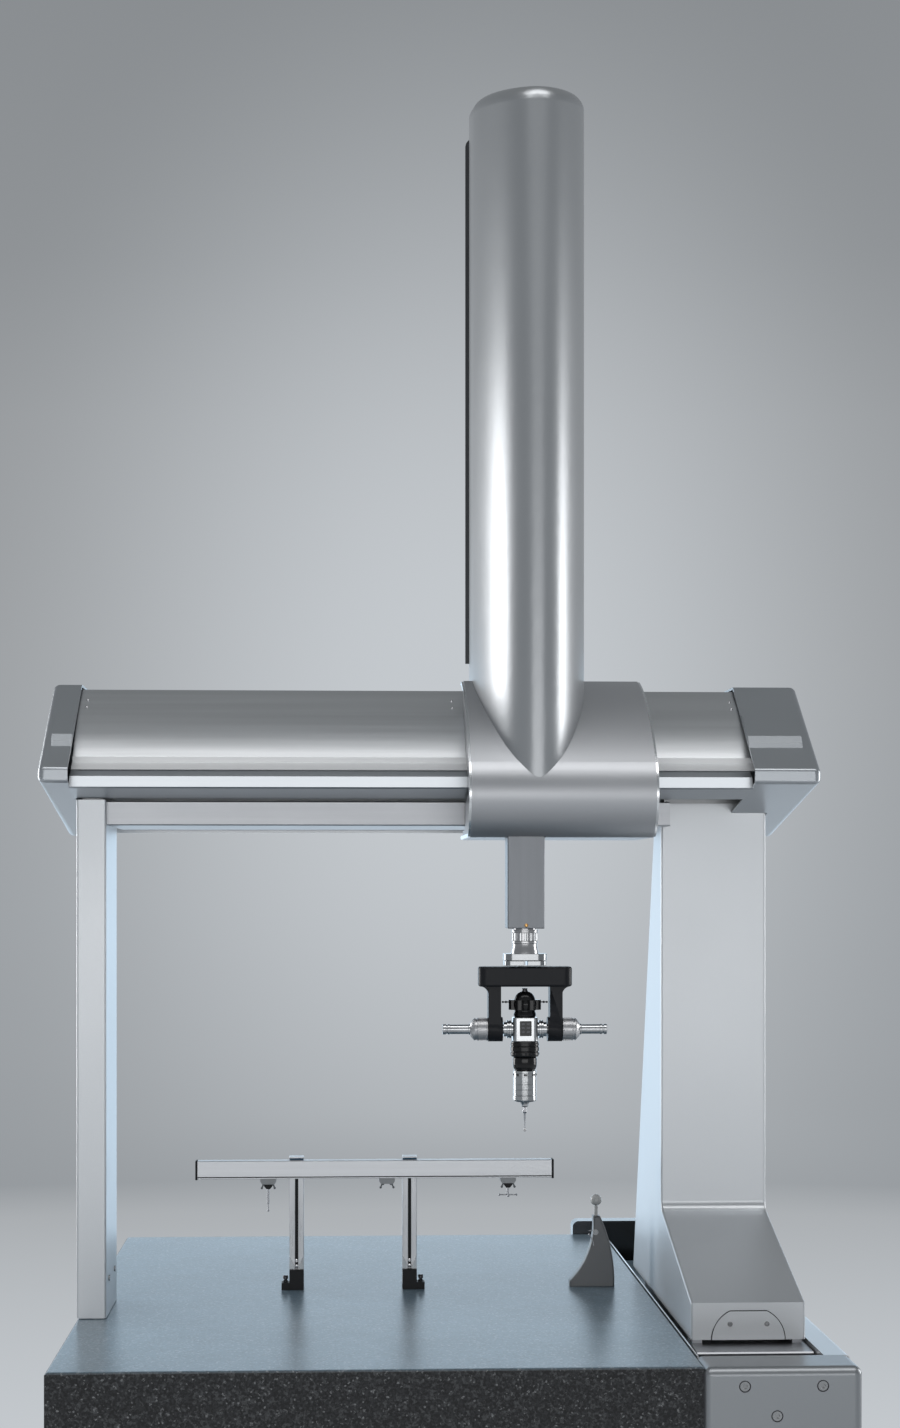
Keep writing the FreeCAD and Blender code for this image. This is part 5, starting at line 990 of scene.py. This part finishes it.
    def _mount(self) -> None:
        """Black ring and glossy collar that hold the touch probe."""
        Shape(self.origin).lathe([
            (0, -15), (16.4, -15), (17.6, -15.8), (17.6, -17.4), (18.3, -17.8), (18.3, -20.4), (17.5, -20.9),
            (17.5, -21.7), (18.5, -22.2), (18.5, -27.2), (17.4, -27.7), (17.4, -28.7), (18.4, -29.2), (18.4, -32.6),
            (17.2, -34.4), (15.0, -35.0), (0, -35.0)]).place(
                "probe_mount_ring", "probe", Finishes.GLOSS_BLACK, 0.25, replaces=["probe_mount"])
        grip = [(17.4, -1.7), (18.45, -1.3), (18.45, 1.3), (17.4, 1.7)]
        Shape(self.origin).around(18, grip, -32.2, -29.4, turn=10.0).place(
            "mount_grips", "probe", Finishes.ANODISED, 0.2, replaces=["probe_mount"])
        Shape(self.origin).lathe([
            (0, -35), (14.2, -35), (15.2, -36.2), (15.5, -38.4), (15.5, -44.0), (15.1, -47.6), (13.9, -50.4),
            (12.8, -51.6), (12.8, -52.0), (0, -52.0)], segments=80).place(
                "probe_collar", "probe", Finishes.GLOSS_BLACK, 0.2, replaces=["probe_mount"])

    def _probe(self) -> None:
        """Bright touch probe with its joints, slots and cone."""
        end = self.probe_end
        Shape(self.origin).lathe(counted(end, [
            (0, 40), (13.8, 40), (14.9, 39.2), (14.9, 36.8), (14.3, 36.4), (14.3, 32.6), (14.8, 32.2), (14.8, 23.0),
            (14.35, 22.7), (14.35, 22.1), (14.8, 21.8), (14.8, 16.4), (14.35, 16.1), (14.35, 15.5), (14.8, 15.2),
            (14.8, 9.4), (14.1, 9.0), (14.1, 8.2), (15.0, 7.7), (15.0, 2.6), (14.2, 1.1), (12.4, 0.2), (6.2, -0.6),
            (4.9, -2.8), (4.6, -5.4), (3.0, -6.6), (2.05, -7.0)]), segments=96).place(
                "touch_probe", "probe", Finishes.CHROME, replaces=["touch_probe"], sharp=28.0)
        slot = [(13.9, -2.3), (14.9, -2.1), (14.9, 2.1), (13.9, 2.3)]
        Shape(self.origin).around(8, slot, end + 33.4, end + 35.7, turn=-90.0).place(
            "probe_slots", "probe", Finishes.GLOSS_BLACK, 0.2, replaces=["touch_probe"])

    def _stylus(self) -> None:
        """Thin stylus with its thread collar and its ball."""
        top, tip = self.probe_end, self.stylus_end
        stem = counted(top, [(0, 7), (1.9, 7), (1.9, -10.4), (2.9, -10.7), (2.9, -13.0), (2.0, -14.2), (1.3, -15.4),
                             (1.3, -24.0), (0.85, -25.0)]) + [(0.85, tip + 3.2), (0, tip + 3.0)]
        Shape(self.origin).lathe(stem, segments=32).place(
            "stylus_stem", "stylus", Finishes.STYLUS, replaces=["stylus"])
        Shape(self.origin).ball((0, 0, tip + 2.0), 2.0, 16).place(
            "stylus_ball", "stylus", Finishes.PALE_BALL, replaces=["stylus"])


@dataclass
class Rack(Assembly):
    """Stylus rack on its two posts, and the reference ball on its stand."""

    solids: Solids = (
        ("stored_styli", Finishes.STYLUS), ("sphere_stand", Finishes.HORN, 0.6), ("reference_sphere", Finishes.CERAMIC))
    left: float = -0.315
    length: float = 493.0
    centre_y: float = -0.004
    bar_low: float = 1.017
    bar_height: float = 25.0
    table: float = 0.860
    posts: tuple[float, float] = (-178.0, -20.0)
    garages: tuple[float, float, float] = (98.0, 263.0, 432.0)

    def model(self) -> None:
        """Build the rack and the lever of the ball's stand."""
        self._bar()
        self._post_pieces()
        self._garage_pieces()
        lever = Shape((0.2438, 0.010, self.table))
        lever.tube([(-2.0, -1.2, 77.0), (-6.0, -1.4, 79.5), (-11.5, -1.4, 79.0), (-11.0, -1.4, 74.0),
                    (-7.5, -1.4, 68.0), (-5.2, -1.4, 62.0), (-4.6, -1.4, 58.0)], 0.8)
        lever.place("sphere_stand_lever", "base", Finishes.STYLUS)

    def _bar(self) -> None:
        """Bar with a black strip in its lower channel as painted shade of the groove, and the dark cap at each end."""
        origin = (self.left, self.centre_y, self.bar_low)
        section = [(-10, 0.3), (-9.7, 0), (-3, 0), (-3, 6), (3, 6), (3, 0), (9.7, 0), (10, 0.3), (10, 24), (9, 25),
                   (-9.2, 25), (-10, 24.2), (-10, 3.0), (-8.4, 3.0), (-8.4, 1.7), (-10, 1.7)]
        Shape(origin).prism(section, 0, self.length, Axis.X).place(
            "rack_bar", "base", Finishes.RACK, 0.25, replaces=["rack_bar"], sharp=20.0)
        # Painted shade: a black strip deep in the lower channel.
        Shape(origin).block((0.2, -8.6, 1.8), (self.length - 0.2, -8.2, 2.9)).place(
            "rack_channel_shade", "base", Finishes.PLASTIC, replaces=["rack_bar"])
        caps = Shape(origin)
        for place in (-3.0, self.length):
            caps.prism(plate(20.6, 26.6, 1.6, (0, 12.0)), place, place + 3.0, Axis.X)
        caps.place("rack_end_caps", "base", Finishes.PLASTIC, 0.5, replaces=["rack_feet"])

    def _post_pieces(self) -> None:
        """Slotted posts with a black strip in each front slot as painted shade, their feet, brackets, clamp screws and
        caps.
        """
        origin = (0.0, 0.016, self.table)
        quarter = [(2.3, 10.0), (2.3, 8.2), (5.0, 8.2), (5.0, 6.6), (2.6, 4.2)]
        flank = [(-9.4, 10.0)] + [(-across, out) for across, out in quarter] + quarter[::-1] + [(9.4, 10.0)]
        section: list[tuple[float, float]] = []
        for turn in range(4):
            angle = -math.pi / 2 * turn
            section += [(u * math.cos(angle) - v * math.sin(angle), u * math.sin(angle) + v * math.cos(angle))
                        for u, v in flank]
        posts, strips, feet, brackets, screws, knobs, caps, lids = (Shape(origin) for _ in range(8))
        top = (self.bar_low - self.table) * 1000.0 + self.bar_height
        for place, way in zip(self.posts, (-1, 1)):
            posts.prism([(place + u, v) for u, v in section], 6.0, top, Axis.Z)
            # Painted shade: a black strip deep in each front slot.
            strips.block((place - 2.2, -7.9, 30.0), (place + 2.2, -7.5, top - self.bar_height - 0.5))
            feet.prism(plate(20, 32, 0.8, (place, 0)), 0, 6.0, Axis.Z)
            feet.block((place - 10, -16, 5.5), (place + 10, -10.1, 28))
            feet.block((place - 10, 10.1, 5.5), (place + 10, 16, 28))
            near, far = sorted((place + way * 9.5, place + way * 21.0))
            feet.block((near, -16, 0), (far, 4, 10))
            knobs.lathe([(0, 10), (3.5, 10), (3.5, 12.4), (2.3, 13.0), (2.3, 14.4), (3.6, 15.0), (3.6, 18.6), (2.8, 20),
                         (0, 20)], (place + way * 15.5, -8.0, 0), segments=28)
            for hand in (-1, 1):
                wedge = [(place + hand * 10.0, 28.0), (place + hand * 2.9, 28.0), (place + hand * 2.9, 33.0),
                         (place + hand * 8.9, 46.0), (place + hand * 10.0, 46.0)]
                brackets.prism(wedge, -12.0, -9.9, Axis.Y)
            for up, profile in ((40.0, [(0, 0), (2.6, 0), (2.6, 1.6), (1.5, 2.4), (1.5, 1.0), (0, 1.0)]),
                                (33.0, [(0, 0), (1.9, 0), (1.9, 1.6), (0, 1.8)])):
                screws.lathe(profile, (place, -9.6, up), Axis.Y, -1, 24)
            caps.prism(plate(19.4, 22.0, 1.0, (place, -8.0)), top, top + 2.4, Axis.Z)
            lids.prism(plate(20.4, 23.0, 1.0, (place, -8.0)), top + 2.4, top + 4.0, Axis.Z)
        posts.place("rack_posts", "base", Finishes.POST, 0.15, 2, replaces=["rack_posts"], sharp=20.0)
        strips.place("post_slot_shade", "base", Finishes.PLASTIC, replaces=["rack_posts"])
        feet.place("rack_feet", "base", Finishes.PLASTIC, 0.5, replaces=["rack_feet"])
        brackets.place("post_brackets", "base", Finishes.CHROME_SIDE, 0.3)
        screws.place("bracket_screws", "base", Finishes.SCREW)
        knobs.place("foot_clamp_screws", "base", Finishes.DARK_STEEL, replaces=["rack_feet"])
        caps.place("post_caps", "base", Finishes.BLUE_CAP, 0.3, replaces=["rack_feet"])
        lids.place("post_lids", "base", Finishes.RACK, 0.4, replaces=["rack_feet"])

    def _garage_pieces(self) -> None:
        """Three garages with their forks; the outer two hold a stylus."""
        bodies, forks, inserts = (Shape((self.left, self.centre_y, self.bar_low)) for _ in range(3))
        for index, place in enumerate(self.garages):
            body = rounded(mirrored(place, [(11, 0, 0.3), (11, -3.5, 0.8), (8.5, -7.5, 0.8)]), 3)
            bodies.prism(body, -11.5, 9.5, Axis.Y)
            for hand in (-1, 1):
                forks.tube([(place + hand * 6.6, -9.0, -6.5), (place + hand * 7.6, -9.5, -9.5),
                            (place + hand * 8.8, -10.0, -12.0)], 1.1)
                forks.ball((place + hand * 8.9, -10.0, -12.4), 1.7, 12)
                forks.block((place + hand * 5.0 - 1.0, -8.0, -9.5), (place + hand * 5.0 + 1.0, 6.0, -7.0))
            if index != 1:
                insert = rounded(mirrored(place, [(6.5, -7.4, 0.5), (5.5, -10.5, 0.5), (2.4, -14.0, 0.5)]), 3)
                inserts.prism(insert, -10.5, 3.0, Axis.Y)
        bodies.place("rack_garages", "base", Finishes.PALE_PLASTIC, 0.5, replaces=["rack_garages"])
        forks.place("garage_forks", "base", Finishes.GREY_PLASTIC, replaces=["rack_garages"])
        inserts.place("garage_inserts", "base", Finishes.PLASTIC, 0.4, replaces=["rack_garages"])


@dataclass
class Drives(Assembly):
    """Motor and friction wheel of each axis."""

    solids: Solids = tuple((f"{axis}_drive_{piece}", finish) for axis in ("bridge", "carriage", "ram")
                           for piece, finish in (("motor", Finishes.MOTOR), ("wheel", Finishes.TREAD)))


GLOW: Colour = (0.55, 0.58, 0.61)
WALL_STOPS = (
    (0.0, (0.325, 0.345, 0.365)), (0.10, (0.335, 0.355, 0.375)), (0.24, (0.33, 0.345, 0.36)),
    (0.36, (0.315, 0.33, 0.345)), (0.44, (0.275, 0.29, 0.305)), (0.60, (0.245, 0.26, 0.275)),
    (1.0, (0.20, 0.21, 0.215)))
# Colours of the glowing floor, brighter towards the machine: a painted pool of light.
FLOOR_GLOW_STOPS = (
    (0.0, (0.62, 0.65, 0.68)), (0.22, (0.55, 0.58, 0.61)), (0.38, (0.47, 0.495, 0.52)), (0.52, (0.40, 0.42, 0.44)),
    (0.60, (0.305, 0.325, 0.345)), (0.72, (0.31, 0.33, 0.35)), (1.0, (0.325, 0.345, 0.365)))


def quarter_steps(count: int) -> list[float]:
    """Angles that lead in even steps up to a quarter turn."""
    return [step / count * math.pi / 2 for step in range(1, count + 1)]


@dataclass
class Studio:
    """Backdrop, lamps and camera."""

    radius: float = 14.0
    height: float = 13.0
    sweep: float = 2.0
    pool: float = 2.4
    camera_place: Colour = (-0.1188, -3.356, 1.420)
    camera_turn: float = -2.648
    lens: float = 60.504
    sensor: float = 36.0
    shift: float = 0.1225
    aim: Colour = (0.0, -0.1, 1.45)
    glow_height: float = 2.7
    glow_side: float = 0.75
    lamps: tuple[tuple[str, Colour, tuple[float, float], float, Colour], ...] = (
        ("left_strip", (-2.55, 1.55, 1.65), (1.45, 1.9), 44.0, WHITE),
        ("right_strip", (3.05, 0.45, 1.60), (1.20, 1.8), 28.0, WHITE),
        ("front_band", (-0.2, -6.0, 1.35), (6.0, 1.2), 44.0, WHITE),
        ("top_band", (0.0, -1.75, 5.0), (5.0, 2.2), 68.0, WHITE),
        ("low_rear", (0.1, 3.6, 1.2), (4.6, 1.7), 26.0, PALE_BLUE))

    def build(self) -> None:
        """Build the whole studio."""
        self._backdrop()
        for lamp in self.lamps:
            self._lamp(*lamp)
        self._camera()

    def _backdrop(self) -> None:
        """Round floor that sweeps up into a wall and a ceiling."""
        flat = [(reach, 0.0) for reach in (0.0, 1.5, 3.0, 6.0, 9.0, self.radius - self.sweep)]
        low = [(self.radius - self.sweep * (1 - math.sin(angle)), self.sweep * (1 - math.cos(angle)))
               for angle in quarter_steps(8)]
        high = [(self.radius * math.cos(angle), self.sweep + (self.height - self.sweep) * math.sin(angle))
                for angle in quarter_steps(12)]
        shape = Shape().lathe([(reach * 1000.0, height * 1000.0) for reach, height in flat + low + high], segments=96)
        shape.mesh_object("backdrop", self._surroundings(), 180.0)
        LOG.info("backdrop")

    def _surroundings(self) -> bpy.types.Material:
        """Glowing wall with a soft light behind the machine, a glowing floor further out that is brighter towards the
        machine as a painted pool of light, and a plain floor round the machine.
        """
        graph = Graph("backdrop")
        spot = graph.place()
        height = graph.part_of(spot, Axis.Z)
        away = graph.vector("LENGTH", graph.vector("MULTIPLY", spot, (1.0, 1.0, 0.0)), output="Value")
        wall = graph.node("ShaderNodeValToRGB", {"stops": WALL_STOPS}, {0: height / self.height})
        # Painted pool of light: the glowing floor is brighter near the machine and darker further out.
        near = graph.node("ShaderNodeValToRGB", {"stops": FLOOR_GLOW_STOPS}, {0: away / self.radius})
        colour = graph.mix(1.0 - height.between(0.0, 0.35), wall, near)
        off = graph.vector("SUBTRACT", spot, (self.glow_side, self.radius, self.glow_height))
        reach = graph.vector("LENGTH", graph.vector("MULTIPLY", off, (1.0, 0.35, 0.72)), output="Value")
        lit = graph.mix(1.0 - reach.between(0.3, 3.9), colour, GLOW)
        camera, glossy, through = (graph.node("ShaderNodeLightPath", output=f"Is {kind} Ray")
                                   for kind in ("Camera", "Glossy", "Transmission"))
        seen = camera + glossy + through
        emission = graph.node("ShaderNodeEmission", inputs={"Color": lit, "Strength": seen * 0.2 + 0.8})
        tone = graph.shade(graph.noise(spot, 1.3, 3.0), (0.62, 0.64, 0.66), 0.97, 1.03)
        floor = graph.node("ShaderNodeBsdfDiffuse", inputs={"Color": tone})
        share = away.between(self.pool - 0.9, self.pool + 0.3)
        return graph.finish(graph.node("ShaderNodeMixShader", inputs={0: share, 1: floor, 2: emission}))

    def _lamp(self, name: str, place: Colour, size: tuple[float, float], power: float, colour: Colour) -> None:
        """Soft rectangular lamp that faces the machine and can't be seen itself.

        Args:
            name: Name of the lamp.
            place: Where it stands.
            size: Width and height in metres.
            power: Power in watts.
            colour: Colour of its light.
        """
        data = bpy.data.lights.new(name, "AREA")
        data.shape = "RECTANGLE"
        data.size, data.size_y = size
        data.energy = power
        data.color = colour
        lamp = bpy.data.objects.new(name, data)
        lamp.location = place
        aim = Vector(self.aim) - Vector(place)
        lamp.rotation_euler = aim.to_track_quat("-Z", "Y").to_euler()
        lamp.visible_camera = False
        bpy.context.scene.collection.objects.link(lamp)
        LOG.info("lamp %s", name)

    def _camera(self) -> None:
        """Camera at the photograph's place."""
        data = bpy.data.cameras.new("camera")
        data.lens = self.lens
        data.sensor_width = self.sensor
        data.shift_y = self.shift
        camera = bpy.data.objects.new("camera", data)
        camera.location = self.camera_place
        camera.rotation_euler = (math.radians(90.0), 0.0, math.radians(self.camera_turn))
        bpy.context.scene.collection.objects.link(camera)
        scene = bpy.context.scene
        scene.camera = camera
        scene.view_settings.view_transform = "Standard"
        scene.world = bpy.data.worlds.new("studio")
        LOG.info("camera")


def main() -> None:
    """Build the machine and the studio."""
    for assembly in (Stand(), Table(), GuideCover(), Legs(), Beam(), Carriage(), Ram(), Head(), Rack(), Drives()):
        LOG.info("%s", type(assembly).__name__)
        assembly.build()
    Studio().build()


if __name__ == "__main__":
    main()
